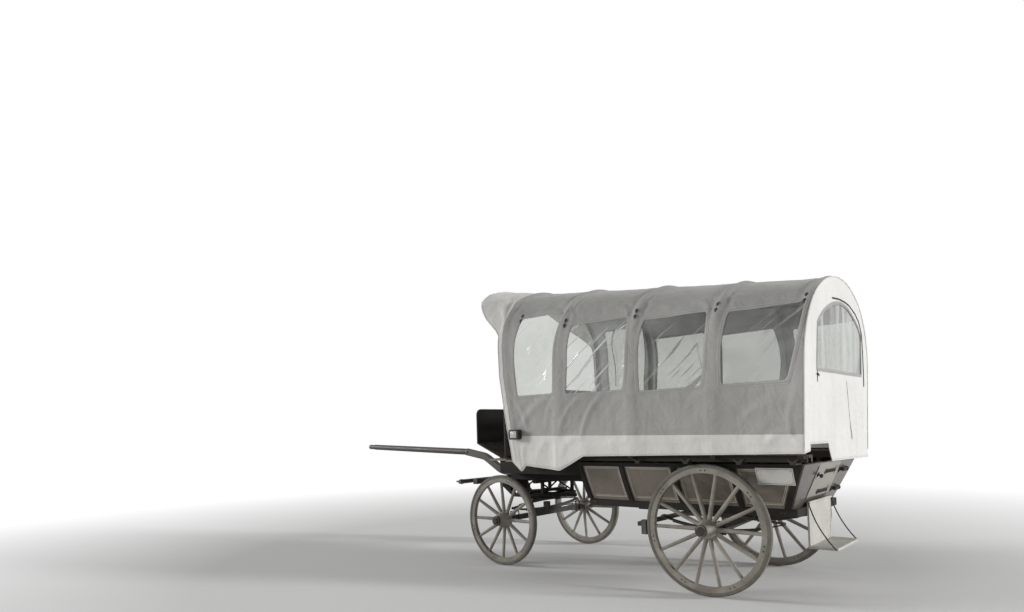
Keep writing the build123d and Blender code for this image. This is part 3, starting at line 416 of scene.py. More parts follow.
class Pile:
    """Simple solids gathered into one joined piece."""

    def __init__(self):
        self.points = []
        self.faces = []

    def ring(self, centre, u, v, radius, sides):
        start = len(self.points)
        for k in range(sides):
            a = 2 * pi * k / sides
            self.points.append(centre + (u * cos(a) + v * sin(a)) * radius)
        return list(range(start, start + sides))

    def join(self, a, b):
        n = len(a)
        for k in range(n):
            self.faces.append((a[k], a[(k + 1) % n], b[(k + 1) % n], b[k]))

    def join_all(self, rings, closed=False):
        for a, b in zip(rings, rings[1:]):
            self.join(a, b)
        if closed:
            self.join(rings[-1], rings[0])
        else:
            self.faces += [tuple(reversed(rings[0])), tuple(rings[-1])]

    def turned(self, base, direction, profile, sides=16):
        """A lathe form: profile rows are distance along the axis and radius, in millimetres."""
        w = direction.normalized()
        u = w.orthogonal().normalized()
        v = w.cross(u)
        self.join_all([self.ring(base + w * (h * MM), u, v, r * MM, sides) for h, r in profile])

    def bolt(self, base, direction, radius):
        height = radius * 0.9
        washer = height * 0.25
        self.turned(base, direction, [(0, radius * 1.35), (washer, radius * 1.35)], 14)
        base = base + direction.normalized() * (washer * MM)
        self.turned(base, direction, [(0, radius), (height * 0.75, radius), (height, radius * 0.82)], 6)

    def dome(self, base, direction, radius, height):
        rows = [(height * sin(a), radius * cos(a)) for a in (0.0, 0.35, 0.7, 1.05, 1.35)]
        self.turned(base, direction, rows, 14)

    def tube(self, path, radius, sides=8, closed=False):
        """A round bar through points in metres; radius in millimetres."""
        count = len(path)
        u = None
        rings = []
        for k, point in enumerate(path):
            before = path[k - 1] if (k > 0 or closed) else path[k]
            after = path[(k + 1) % count] if (k < count - 1 or closed) else path[k]
            w = (after - before).normalized()
            u = w.orthogonal() if u is None else u - w * u.dot(w)
            u = u.normalized()
            rings.append(self.ring(point, u, w.cross(u), radius * MM, sides))
        self.join_all(rings, closed)

    def strap(self, path, ups, width, thick):
        """A flat band through points in metres, with its broad face square to the ups."""
        rows = []
        for k, (point, up) in enumerate(zip(path, ups)):
            ahead = (path[min(k + 1, len(path) - 1)] - path[max(k - 1, 0)]).normalized()
            side = ahead.cross(up).normalized() * (width * MM / 2)
            lift = up.normalized() * (thick * MM)
            rows.append([len(self.points) + i for i in range(4)])
            self.points += [point - side, point + side, point + side + lift, point - side + lift]
        self.join_all(rows)

    def block(self, centre, u, v, w, bevel=1.5):
        """A box with chamfered edges; u, v, w are its half sizes as vectors in millimetres."""
        axes = [a.normalized() for a in (u, v, w)]
        halves = [a.length * MM for a in (u, v, w)]
        cut = min(bevel * MM, min(halves) * 0.6)
        cube = bmesh.new()
        bmesh.ops.create_cube(cube, size=2.0)
        for vert in cube.verts:
            vert.co = Vector([vert.co[k] * halves[k] for k in range(3)])
        bmesh.ops.bevel(cube, geom=cube.edges[:], offset=cut, segments=2, affect="EDGES", profile=0.6)
        start = len(self.points)
        self.faces += [tuple(start + vert.index for vert in face.verts) for face in cube.faces]
        turn = Matrix(axes).transposed()
        self.points += [centre + turn @ vert.co for vert in cube.verts]
        cube.free()

    def piece(self, name, material=iron, body="carriage", slot="black_iron", smooth_below=35.0):
        return add_piece(name, self.points, self.faces, [material], body, smooth_below)


def add_piece(name, points, faces, materials, body="carriage", smooth_below=0.0, kinds=None):
    """A piece from points in metres: smooth, or with sharp edges above an angle when that isn't zero."""
    mesh = bpy.data.meshes.new(name)
    mesh.from_pydata([tuple(p) for p in points], [], faces)
    for material in materials:
        mesh.materials.append(material)
    if kinds:
        mesh.polygons.foreach_set("material_index", kinds)
    work = bmesh.new()
    work.from_mesh(mesh)
    bmesh.ops.recalc_face_normals(work, faces=work.faces[:])
    work.to_mesh(mesh)
    work.free()
    mesh.update()
    mesh.polygons.foreach_set("use_smooth", [True] * len(mesh.polygons))
    if smooth_below:
        mesh.set_sharp_from_angle(angle=radians(smooth_below))
    piece = link_object(name, mesh)
    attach(piece, body)
    return piece


def thicken(piece, thickness, offset=-1.0):
    solid = piece.modifiers.new("thickness", "SOLIDIFY")
    solid.thickness = thickness * MM
    solid.offset = offset
    solid.use_even_offset = False


def foil_sheet(name, across, up, place, material):
    """A clear sheet, whose place function gives the point at shares u across and v up it."""
    points = [place(i / across, j / up) for i in range(across + 1) for j in range(up + 1)]
    corners = [i * (up + 1) + j for i in range(across) for j in range(up)]
    faces = [(a, a + up + 1, a + up + 2, a + 1) for a in corners]
    piece = add_piece(name, points, faces, [material])
    thicken(piece, foil_t)
    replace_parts(piece, "windows")
    return piece


# Cover cloth: the flat-topped arch of the hoops, whose crown climbs towards the front
half_w = 860.0
top_half = 500.0
top_sag = 124.0
cover_rear_x = -842.0
cover_front_x = 2000
rear_crown = 2575.0
crown_slope = 0.120
bonnet_from = 1850.0
bonnet_to = 2600.0
bonnet_lift = 40.0
hem_rear_z = 1170.0
rear_lean = 0.040
hoop_lean = 0.050
hoop_lean_z = 1500.0
top_radius = (top_half ** 2 + top_sag ** 2) / (2 * top_sag)
top_angle = asin(top_half / top_radius)
bend_radius = (half_w - top_half) / (1 - sin(top_angle))
bend_end = bend_radius * (pi / 2 - top_angle)
section_end = bend_end + top_radius * top_angle
hoops = [-812.0, -138.0, 617.0, 1414.0, 2105.0]
cloth_t = 2.4
foil_t = 0.8
band_rear_z = 1310.0
band_front_z = 1348.0
edge_strip = 62.0
strip_top_z = 2440
lip_foot_z, lip_top_z = 1085, 3038.5
far_hem_drop = 34.0
far_hem_z = (1300.0, 1180.0)
far_hem_x = (1300.0, 1100.0)
blend_width = 160.0

# low z, high z, x of the rear and front edge at the bottom and at the top, how far each edge bows forward
windows = [
    (1705, 2312, -742, -227, -852, -258, -25, 6),
    (1703, 2343, -59, 519, -91, 488, -30, 12),
    (1725, 2396, 675, 1311, 650, 1259, -32, 0),
    (1740, 2556, 1463, 1927, 1378, 1914, 17, 32),
]
foil_slack = [3.0, 4.0, 9.0, 4.5]
hem_line = [(-842, 1170), (1119, 1146), (1399, 1008), (1826, 1050), (1880, 988), (2000, 1085)]
front_line = [(988, 1996), (1085, 2000), (1454, 2071), (1947, 2148), (2250, 2157), (2384, 2162),
              (2449, 2214), (2527, 2306), (2612, 2414), (2762, 2562), (2858, 2645), (2960, 2680),
              (3040, 2696), (3200, 2706)]

# Pull folds in the left wall: from x, z to x, z, then width and height
folds_left = [
    (1156, 1690, 1405, 1350, 22, 13), (905, 1700, 1140, 1330, 24, 13), (1100, 1700, 1290, 1400, 18, 3),
    (1140, 1330, 1400, 1170, 34, 9), (-760, 1300, -822, 1640, 20, 9), (-770, 1330, -560, 1230, 30, 9),
    (-700, 1560, -360, 1400, 40, 6), (260, 1690, 470, 1500, 30, 2), (640, 1690, 860, 1470, 30, 3),
    (-120, 1690, 90, 1480, 30, 3), (-160, 1700, -420, 1500, 34, 3), (600, 1700, 380, 1530, 30, 2),
    (1500, 1720, 1900, 1420, 40, 8), (1430, 1720, 1560, 1380, 26, 4), (1980, 1750, 1800, 1380, 30, 6),
    (1780, 1350, 1850, 1060, 24, 6), (1430, 1360, 1700, 1120, 36, 6), (-600, 1250, 300, 1262, 26, 4),
    (100, 1245, 1000, 1232, 30, 5), (-800, 1210, -300, 1222, 22, 4), (-500, 1330, 600, 1345, 18, 3),
    (1420, 2500, 1650, 2600, 20, 6), (1250, 2420, 1380, 2560, 16, 6), (600, 2400, 420, 2520, 22, 7),
    (-150, 2350, -320, 2440, 20, 6), (650, 2400, 850, 2520, 22, 6), (-100, 2350, 90, 2450, 20, 6),
]
# The bonnet's folds run from the front hoop's shoulder to the lip
folds_bonnet = [
    (2120, 2480, 2300, 2740, 26, 9), (2140, 2600, 2400, 2860, 30, 10), (2110, 2720, 2350, 2900, 34, 9),
    (2120, 2830, 2480, 2960, 40, 8),
]
fold_height = 1.25


def mirrored_folds():
    """The right wall's folds: the left ones, each a little moved and scaled."""
    draw = random.Random(11)
    rows = []
    for x0, z0, x1, z1, width, height in folds_left + folds_bonnet:
        shift = draw.uniform(-60, 60)
        scale = draw.uniform(0.6, 1.1)
        rows.append((x0 + shift, z0, x1 + shift * 0.4, z1 + draw.uniform(-30, 30), width, height * scale))
    return rows


folds = {1: folds_left + folds_bonnet, -1: mirrored_folds()}


def crown(x):
    ahead = max(0.0, x - bonnet_from) / (bonnet_to - bonnet_from)
    return rear_crown + crown_slope * (x - cover_rear_x) + bonnet_lift * ahead * ahead


def rear_x(z):
    """The rear hoop and the curtain lean back a little."""
    return cover_rear_x - rear_lean * max(0.0, z - hem_rear_z)


def front_x(z):
    return along_table(front_line, z)


def band_z(x):
    return mix(band_rear_z, band_front_z, (x - cover_rear_x) / (cover_front_x - cover_rear_x))


def hoop_x(k, z):
    if k == 0:
        return hoops[0] - rear_lean * max(0.0, z - hem_rear_z)
    if k == 4:
        return min(hoops[4], front_x(z) - edge_strip)
    return hoops[k] - hoop_lean * max(0.0, z - hoop_lean_z)


def wall_top(x):
    return crown(x) - top_sag - bend_radius * cos(top_angle)


def section(x, s):
    """Point and outward direction of the half section at a distance s along it from the wall's top."""
    if s <= 0:
        return half_w, wall_top(x) + s, 1.0, 0.0
    if s <= bend_end:
        a = s / bend_radius
        y = half_w - bend_radius + bend_radius * cos(a)
        return y, wall_top(x) + bend_radius * sin(a), cos(a), sin(a)
    a = top_angle - (s - bend_end) / top_radius
    return top_radius * sin(a), crown(x) - top_radius * (1 - cos(a)), sin(a), cos(a)


def reach(x, z):
    """Distance along the section at a height z on the wall or its shoulder."""
    rise = z - wall_top(x)
    if rise <= 0:
        return rise
    return bend_radius * asin(limit(rise / bend_radius, 0.0, cos(top_angle)))


def fold_relief(rows, a, b, margin, fade, bow=0.0, trough=0.0, widths=99.0):
    """Height of pull folds at a, b: long ridges that may be bowed, each with a trough beside it."""
    total = 0.0
    for a0, b0, a1, b1, width, height in rows:
        da, db = a1 - a0, b1 - b0
        length = hypot(da, db)
        along = ((a - a0) * da + (b - b0) * db) / (length * length)
        if -margin < along < 1 + margin:
            middle = bow * sin(along * pi) * (1 if da > 0 else -1)
            across = (-(a - a0) * db + (b - b0) * da) / length - middle
            if abs(across) < widths * width:
                ends = smooth(-margin, margin, along) * smooth(1 + margin, fade, along)
                total += height * ends * (bell(across, width) - trough * bell(across - 1.5 * width, width))
    return total


def relief(x, s, side):
    """How far the cloth stands out from the hoops' skin: it sags inward between them."""
    z = section(x, s)[1]
    roof = smooth(-40.0, bend_end * 0.8, s)
    lines = [hoop_x(k, z) for k in range(5)]
    if x <= lines[0]:
        between = 0.0
        hoop_gap = lines[0] - x
    elif x >= lines[4]:
        past = limit((x - lines[4]) / 560.0, 0, 1)
        between = past * (1.2 - 0.6 * past)
        hoop_gap = x - lines[4]
    else:
        k = sum(1 for line in lines[1:4] if x > line)
        u = (x - lines[k]) / (lines[k + 1] - lines[k])
        between = (4 * u * (1 - u)) ** 0.75
        hoop_gap = min(x - lines[k], lines[k + 1] - x)
    rail_gap = min(abs(section_end - s), abs(s - bend_end))
    sag_roof = 9.0 + 7.0 * smooth(30.0, 220.0, rail_gap)
    sag_wall = 6.0 + 9.0 * smooth(1200.0, 1500.0, z) * smooth(-20.0, -200.0, s)
    value = -between * mix(sag_wall, sag_roof, roof)
    wave = rough(x * 0.0032, s * 0.0045 * side, side * 3.1)
    ripple = rough(x * 0.011, s * 0.009, side * 7.7)
    free = smooth(10.0, 110.0, hoop_gap)
    value += free * (wave * 7.0 + ripple * 3.0) * mix(0.8, 1.0, roof)
    if z < 1420:
        hem = smooth(1420.0, 1180.0, z)
        value += hem * 5.0 * sin(x * 0.017 + side) * sin(x * 0.0061 + 1.3 * side) - 2.0 * hem
    pulls = fold_relief(folds[side], x, z, 0.12, 0.75, bow=40.0, trough=0.45, widths=3.2)
    value += pulls * fold_height * smooth(0.0, 60.0, hoop_gap + 20)
    # A tight, slightly raised hump where the cloth passes over a hoop, with a crease beside it
    value += roof * (8.0 * bell(hoop_gap, 24.0) - 9.0 * bell(hoop_gap - 54.0, 24.0))
    # The lower band's seam: a low ridge with a crease above it
    above = z - band_z(x)
    value += 3.0 * bell(above + 6.0, 12.0) - 5.0 * bell(above - 18.0, 16.0)
    if x > hoops[4] + 40:
        value = max(value, -30.0)
    value = limit(value, -24.0 if rail_gap < 60 and roof > 0.5 else -42.0, 9.0)
    return mix(max(value, 0.4), value, smooth(22.0, 70.0, hoop_gap))


def skin(x, s, side, out=0.0):
    """A point of the cloth's outer face, or of one that lies out beyond it."""
    y, z, ny, nz = section(x, s)
    if side < 0 and z < far_hem_z[0]:
        # The far side's hem hangs over the side rail
        s -= far_hem_drop * smooth(*far_hem_z, z) * smooth(*far_hem_x, x)
        y, z, ny, nz = section(x, s)
    d = relief(x, s, side) + out
    if s > section_end - blend_width:
        # Both sides' relief meet at the crown
        other = relief(x, s, -side) + out
        d = mix((d + other) / 2, d, smooth(0.0, blend_width, section_end - s))
    return P(x, side * (y + ny * d), z + nz * d)


def on_wall(x, z, side, out=0.0):
    return skin(x, reach(x, z), side, out)


def window_level(x, column):
    """Height of the windows' low (0) or high (1) edge, carried from one bay to the next."""
    table = [(row[at + 2 * column], row[column]) for row in windows for at in (2, 3)]
    return along_table(table + [(2200, windows[3][column] + 20)], x)


def window_side(k, z, front):
    low, high, low_rear, low_front, high_rear, high_front, rear_bow, front_bow = windows[k]
    t = limit((z - low) / (high - low), 0.0, 1.0)
    if not front:
        return mix(low_rear, high_rear, t) + rear_bow * sin(pi * t)
    x = mix(low_front, high_front, t) + front_bow * sin(pi * t)
    return min(x, hoop_x(4, z) - 50) if k == 3 else x


def columns():
    """Columns of the cover's grid, as functions of height, with the window that each may lie in."""
    rows = []

    def add(count, rear, front, window=None):
        for i in range(count):
            rows.append((lambda z, f=i / count: mix(rear(z), front(z), f), window))

    add(2, rear_x, partial(hoop_x, 0))
    for k in range(4):
        rear, front = (partial(window_side, k, front=front) for front in (False, True))
        add(4, partial(hoop_x, k), rear)
        add(30, rear, front, k)
        add(4 if k < 3 else 7, front, partial(hoop_x, k + 1))
    add(20, partial(hoop_x, 4), front_x)
    return rows + [(front_x, None)]


def levels():
    """Levels of the grid, as functions of x giving the distance along the section, and their zones."""
    edges = [lambda x: reach(x, along_table(hem_line, x)), lambda x: reach(x, band_z(x)),
             lambda x: reach(x, window_level(x, 0)), lambda x: reach(x, window_level(x, 1)),
             lambda x: section_end]
    rows = []
    for zone, count in enumerate((9, 18, 30, 38)):
        for j in range(count):
            rows.append((lambda x, a=edges[zone], b=edges[zone + 1], f=j / count: mix(a(x), b(x), f), zone))
    return rows + [(edges[4], 4)]


def grid_point(column, level):
    """Where a column meets a level: x and the distance along the section."""
    x = column(1500.0)
    s = level(x)
    for _ in range(14):
        x = mix(x, column(section(x, s)[1]), 0.7)
        s = level(x)
    return x, s


def make_cover():
    cols, rows = columns(), levels()
    count = len(rows)
    spots = [[grid_point(col, row) for row, zone in rows] for col, window in cols]
    points, faces, kinds = [], [], []
    for line in spots:
        points += [skin(x, s, 1) for x, s in line]
        points += [skin(x, s, -1) for x, s in line[:-1]]

    def index(i, j, side):
        return i * (2 * count - 1) + (j if side == 1 or j == count - 1 else count + j)

    for i in range(len(cols) - 1):
        for side in (1, -1):
            for j in range(count - 1):
                zone = rows[j][1]
                if cols[i][1] is not None and zone == 2:
                    continue
                faces.append((index(i, j, side), index(i + 1, j, side),
                              index(i + 1, j + 1, side), index(i, j + 1, side)))
                x, s = spots[i][j]
                bonnet = x > hoop_x(4, section(x, s)[1]) + 8
                kinds.append(1 if zone == 0 else 2 if bonnet else 0)
    # The band and the bonnet take lighter copies of the canvas (painted light), the rest the darker copy
    # (painted shade).
    materials = [finishes["canvas"], canvas_band_lit, canvas_bonnet_lit]
    piece = add_piece("cover_cloth", points, faces, materials, kinds=kinds)
    thicken(piece, cloth_t)
    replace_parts(piece, "cover")


def foil_relief(k, u, v, side):
    slant = u * 1.2 + v * 2.2
    soft = rough(u * 2.1 + k * 3.7, v * 2.6, side * 2.0)
    sharp = abs(rough(slant * 1.6 + k, (u - v) * 3.4, side + 5.0))
    pull = sin(slant * 5.2 + k * 1.7 + side) * bell(u - 0.45, 0.4)
    return foil_slack[k] * (1.4 * soft - 1.5 * sharp + 0.7 * pull)


def foil_point(k, side, u, v):
    """A point of a window's clear sheet, wrinkled inside its border."""
    z = mix(windows[k][0], windows[k][1], v)
    x = mix(window_side(k, z, False), window_side(k, z, True), u)
    free = smooth(0.0, 0.16, min(u, 1 - u, v, 1 - v))
    return on_wall(x, z, side, -cloth_t - 0.9 + free * foil_relief(k, u, v, side))


def make_foils():
    for side, word in ((1, "left"), (-1, "right")):
        for k in range(4):
            foil = loose_foil if k == 2 else finishes["clear_sheet"]
            piece = foil_sheet(f"window_foil_{word}_{k + 1}", 44, 60, partial(foil_point, k, side), foil)


def rounded_rim(k, grow, corner):
    """Points (x, z) round a window's opening, grown outward, with rounded corners."""
    low, high = windows[k][0] - grow, windows[k][1] + grow
    turn = [pi / 2 * i / 7 for i in range(1, 8)]

    def edge(z, front):
        inside = limit(z, windows[k][0], windows[k][1])
        return window_side(k, inside, front) + (grow if front else -grow)

    rim = []
    for front in (False, True):
        heights = even(low + corner, high - corner, 16)
        rim += [(edge(z, front), z) for z in (reversed(heights) if front else heights)]
        end, rise = (low, -corner) if front else (high, corner)
        x_a, x_b = edge(end, front), edge(end, not front)
        inward = corner if x_b > x_a else -corner
        arc = [(inward * (1 - cos(a)), end - rise + rise * sin(a)) for a in turn]
        rim += [(x_a + dx, z) for dx, z in arc]
        rim += [(x, end) for x in even(x_a + inward, x_b - inward, 16)[1:-1]]
        rim += [(x_b - dx, z) for dx, z in reversed(arc)]
    return rim


def make_welts():
    """Doubled canvas round each window, with a rounded inner edge and two rows of stitches."""
    welt, stitch = Pile(), Pile()
    # outward growth, corner radius and height above the cloth for each line of the welt
    lines = [(26, 34, 0.2), (24, 33, 1.4), (8, 27, 1.6), (-6, 24, 1.4), (-9, 23, -1.4)]
    for side in (1, -1):
        for k in range(4):
            loops = []
            for grow, corner, out in lines:
                start = len(welt.points)
                welt.points += [on_wall(x, z, side, out) for x, z in rounded_rim(k, grow, corner)]
                loops.append(range(start, len(welt.points)))
            for a, b in zip(loops, loops[1:]):
                welt.join(a, b)
            for grow in (20, 0):
                stitch.tube([on_wall(x, z, side, 1.7) for x, z in rounded_rim(k, grow, 29)], 0.9, 4, True)
    add_piece("window_welts", welt.points, welt.faces, [canvas_welt])
    stitch.piece("welt_stitching", canvas_band_lit, slot="canvas", smooth_below=40)


def make_cover_edges():
    """Rolled hem, the bonnet's roped lip, the rear rope and the seams of the band and the front strip."""
    hem, seam = Pile(), Pile()
    for side in (1, -1):
        def cord(pile, places, out, radius, sides):
            pile.tube([skin(x, s, side, out) for x, s in places], radius, sides)

        row = [(x, reach(x, along_table(hem_line, x))) for x in even(cover_rear_x, cover_front_x, 150)]
        cord(hem, row, -cloth_t / 2, 4.0, 6)
        row = [(x, reach(x, band_z(x))) for x in even(cover_rear_x, front_x(1350) - 4, 150)]
        cord(seam, row, -0.2, 1.6, 5)
        lip, strip = [], []
        for z in even(lip_foot_z, lip_top_z, 120):
            x, strip_x = front_x(z), hoop_x(4, z) + 4
            if z - wall_top(x) < bend_radius * cos(top_angle):
                lip.append((x, reach(x, z)))
                if z < strip_top_z:
                    strip.append((strip_x, reach(strip_x, z)))
        x_end, s_end = lip[-1]
        for s in even(s_end, section_end, 24)[1:]:
            x = x_end
            for _ in range(12):
                x = mix(x, front_x(section(x, s)[1]), 0.6)
            lip.append((x, s))
        cord(hem, lip, -cloth_t / 2, 6.0, 8)
        cord(seam, strip, -0.2, 1.5, 5)
        rear = [(rear_x(section(cover_rear_x, s)[1]), s)
                for s in even(reach(cover_rear_x, hem_rear_z), section_end, 120)]
        cord(hem, rear, -cloth_t / 2, 4.5, 8)
    hem.piece("cover_hem", canvas_band_lit, slot="canvas", smooth_below=40)
    seam.piece("cover_seams", canvas_welt, slot="canvas", smooth_below=40)


# Rear curtain: flat canvas that closes the arch behind the last hoop
curtain_inset = 3.3
curtain_t = 2.2
curtain_foot = [(-856, 1066), (-834, 1067), (212, 1084), (297, 1230), (722, 1236), (729, 1184), (856, 1170)]
pane_middle, pane_half = -41.0, 607.0
pane_low, pane_side, pane_top = 1794.0, 2150.0, 2362.0
pane_left, pane_right = pane_middle + pane_half, pane_middle - pane_half
# Folds of the curtain: from y, z to y, z, then width and height out
curtain_folds = [
    (820, 1250, 800, 2150, 30, 7), (760, 1230, 720, 1780, 22, 6), (640, 1250, 610, 1700, 34, 6),
    (420, 1250, 470, 1760, 40, 5), (100, 1190, 160, 1760, 46, 6), (-150, 1150, -60, 1720, 36, 6),
    (-330, 1180, -300, 1750, 20, 8), (-520, 1120, -480, 1740, 44, 6), (-700, 1120, -760, 2050, 36, 6),
    (-800, 1180, -820, 2000, 22, 6), (600, 2380, 300, 2480, 30, 5), (-620, 2360, -250, 2500, 30, 5),
    (0, 2350, 40, 2560, 40, 4), (-180, 1820, -170, 2300, 34, 6), (300, 1830, 250, 2300, 50, 5),
]
zip_arc = [(191, 2382), (60, 2390), (-58, 2391), (-186, 2384), (-334, 2362), (-487, 2312), (-598, 2236),
           (-668, 2140), (-697, 2011), (-709, 1900), (-712, 1700)]
back = Vector((-1, 0, 0))


def arch_z(y):
    """Height of the arch's inner face over a sideways place y at the curtain."""
    y = min(abs(y), half_w - curtain_inset - 0.5)
    r = bend_radius - curtain_inset
    centre = half_w - bend_radius
    if y > centre + r * sin(top_angle):
        return wall_top(cover_rear_x) + sqrt(max(r * r - (y - centre) ** 2, 0.0))
    big = top_radius - curtain_inset
    return crown(cover_rear_x) - top_radius + sqrt(big * big - y * y)


def pane_top_z(y):
    rise = pane_top - pane_side
    radius = (pane_half * pane_half + rise * rise) / (2 * rise)
    y = min(abs(y - pane_middle), pane_half)
    return pane_top - radius + sqrt(radius * radius - y * y)


def door_seam_y(z):
    return mix(-333.0, -202.0, (z - 1240.0) / 500.0)


def curtain_relief(y, z):
    free = smooth(0.0, 60.0, min(half_w - abs(y), arch_z(y) - z))
    total = 5.0 * rough(y * 0.004, z * 0.0026, 4.0)
    total += 2.4 * rough(y * 0.014, z * 0.005, 9.0)
    total += fold_relief(curtain_folds, y, z, 0.15, 0.8)
    # A sewn door seam stands a little proud
    if z < 1740:
        total += 2.5 * bell(y - door_seam_y(z), 9.0)
    return free * limit(total, -9.0, 13.0) - 1.0


def curtain_point(y, z, out=0.0):
    return P(rear_x(z) + 2.0 - curtain_relief(y, z) - out, y, z)


def pane_point(u, v):
    y = pane_middle + mix(-pane_half, pane_half, u)
    z = mix(pane_low, pane_top_z(y), v)
    free = smooth(0.0, 0.15, min(u, 1 - u, v, 1 - v))
    ripple = 4.0 * rough(u * 5.0, v * 2.0, 1.0) + 3.0 * sin(u * 9 + v * 2)
    return curtain_point(y, z, free * ripple - 2.4)


def make_curtain():
    marks = [-856, -834, pane_right, 212, 297, pane_left, 722, 729, 856]
    ys = []
    for a, b, n in zip(marks, marks[1:], (2, 9, 36, 4, 12, 7, 1, 6)):
        ys += even(a, b, n)[:-1]
    ys.append(marks[-1])
    counts = [26, 24, 12]
    count = sum(counts) + 1
    points, faces = [], []
    for y in ys:
        top = arch_z(y)
        pane_head = min(pane_top_z(y), top - 12)
        rows = [along_table(curtain_foot, y), min(pane_low, pane_head - 12), pane_head, top]
        for a, b, n in zip(rows, rows[1:], counts):
            points += [curtain_point(y, z) for z in even(a, b, n)[:-1]]
        points.append(curtain_point(y, top))
    for i in range(len(ys) - 1):
        inside = ys[i] >= pane_right - 1 and ys[i + 1] <= pane_left + 1
        for j in range(count - 1):
            if not (inside and counts[0] <= j < counts[0] + counts[1]):
                a = i * count + j
                faces.append((a, a + count, a + count + 1, a + 1))
    piece = add_piece("rear_curtain_cloth", points, faces, [canvas_rear_sunlit])
    thicken(piece, curtain_t, 0.0)
    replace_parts(piece, "rear_curtain")
    foil = foil_sheet("rear_window_foil", 50, 34, pane_point, rear_foil)


def smooth_path(points, per_span):
    """A Catmull-Rom curve through the points."""
    fine = []
    for k in range(len(points) - 1):
        p = [Vector(points[limit(i, 0, len(points) - 1)]) for i in (k - 1, k, k + 1, k + 2)]
        for i in range(per_span):
            t = i / per_span
            square = 2 * p[0] - 5 * p[1] + 4 * p[2] - p[3]
            cube = 3 * p[1] - p[0] - 3 * p[2] + p[3]
            fine.append(0.5 * (2 * p[1] + (p[2] - p[0]) * t + square * t ** 2 + cube * t ** 3))
    return fine + [Vector(points[-1])]


def make_curtain_trim():
    """Welt of the rear window, the zip's arc, the hem rope and the door seam."""
    welt, rope, zip_line = Pile(), Pile(), Pile()
    rim = [(y, pane_low) for y in even(pane_right, pane_left, 40)[:-1]]
    rim += [(pane_left, z) for z in even(pane_low, pane_side, 10)[:-1]]
    rim += [(y, pane_top_z(y)) for y in even(pane_left, pane_right, 50)[:-1]]
    rim += [(pane_right, z) for z in even(pane_side, pane_low, 10)[:-1]]
    path = [curtain_point(y, z, 1.2) for y, z in rim]
    welt.strap(path + [path[0]], [back] * (len(path) + 1), 26, 1.4)
    welt.tube([curtain_point(y, z, 2.8) for y, z in rim], 1.0, 4, True)
    feet = []
    for (y0, z0), (y1, z1) in zip(curtain_foot, curtain_foot[1:]):
        feet += list(zip(even(y0, y1, 8), even(z0, z1, 8)))[:-1]
    rope.tube([curtain_point(y, z, 0.6) for y, z in feet + curtain_foot[-1:]], 4.0, 6)
    path = [curtain_point(y, z, 1.3) for y, z in smooth_path(zip_arc, 6)]
    zip_line.strap(path, [back] * len(path), 15, 1.2)
    zip_line.tube([p + back * 0.0030 for p in path], 2.2, 6)
    seam = [curtain_point(y, z, 1.2) for y, z in zip(even(-333, -202, 30), even(1240, 1740, 30))]
    rope.strap(seam, [back] * len(seam), 18, 1.2)
    welt.piece("rear_window_welt", canvas_welt, slot="canvas", smooth_below=30)
    rope.piece("rear_curtain_hem", canvas_band_lit, slot="canvas", smooth_below=50)
    zip_line.piece("rear_zip", black_webbing, smooth_below=30)


# Hoops and rails under the cloth
hoop_inset = 16.3
hoop_r = 13.0
rail_inset = 39.6
rail_r = 10.0
rail_end = 12.0
side_rail_top = 1150.0


def inset_point(k, s, inset):
    """A point inside the cloth on a hoop, whose own lean decides where the section is taken."""
    x = hoops[k]
    for _ in range(6):
        y, z, ny, nz = section(x, s)
        x = hoop_x(k, z) if k < 4 else hoops[4]
    return x, y - ny * inset, z - nz * inset


def make_hoops():
    hoop_pile, rail_pile = Pile(), Pile()
    for k in range(5):
        foot = reach(hoops[k], side_rail_top)
        steps = even(foot, 0.0, 14)[:-1] + even(0.0, section_end, 46)
        half = [inset_point(k, s, hoop_inset) for s in steps]
        path = [P(x, y, z) for x, y, z in half] + [P(x, -y, z) for x, y, z in reversed(half[:-1])]
        hoop_pile.tube(path, hoop_r, 12)
    for s, side in ((section_end, 1), (bend_end, 1), (bend_end, -1)):
        line = [inset_point(k, s, rail_inset) for k in range(5)]
        shifts = (-rail_end, 0, 0, 0, rail_end)
        rail_pile.tube([P(x + shift, side * y, z) for (x, y, z), shift in zip(line, shifts)], rail_r, 10)
    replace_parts(hoop_pile.piece("hoop_tubes", smooth_below=40), "hoops")
    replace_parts(rail_pile.piece("hoop_rail_tubes", smooth_below=40), "hoop_rails")


class Surface:
    """Finds the outside of a CAD node by casting rays at it."""

    def __init__(self, name):
        work = bmesh.new()
        work.from_mesh(nodes[name].data)
        work.transform(nodes[name].matrix_world)
        self.tree = BVHTree.FromBMesh(work)
        work.free()

    def from_side(self, x, z, side):
        """Point and outward direction at x, z on a side, or None where there is nothing."""
        point, normal = self.tree.ray_cast(P(x, side * 2000, z), Vector((0, -side, 0)))[:2]
        return (point, normal if normal.y * side > 0 else -normal) if point is not None else None


# x, z of the buckles, and of the ends of the tie that hangs down the third window
buckles = [(1332, 2417), (574, 2399), (-163, 2353), (-836, 2330), (1923, 2553)]
tie_top, tie_foot = (767, 2271), (735, 1776)


def cloth_frame(x, z, side, out=1.0):
    """A point on the wall with the directions ahead, up and outward there."""
    s = reach(x, z)
    here = skin(x, s, side, out)
    ahead = (skin(x + 6, s, side, out) - here).normalized()
    up = (skin(x, s + 6, side, out) - here).normalized()
    return here, ahead, up, ahead.cross(up) * -side


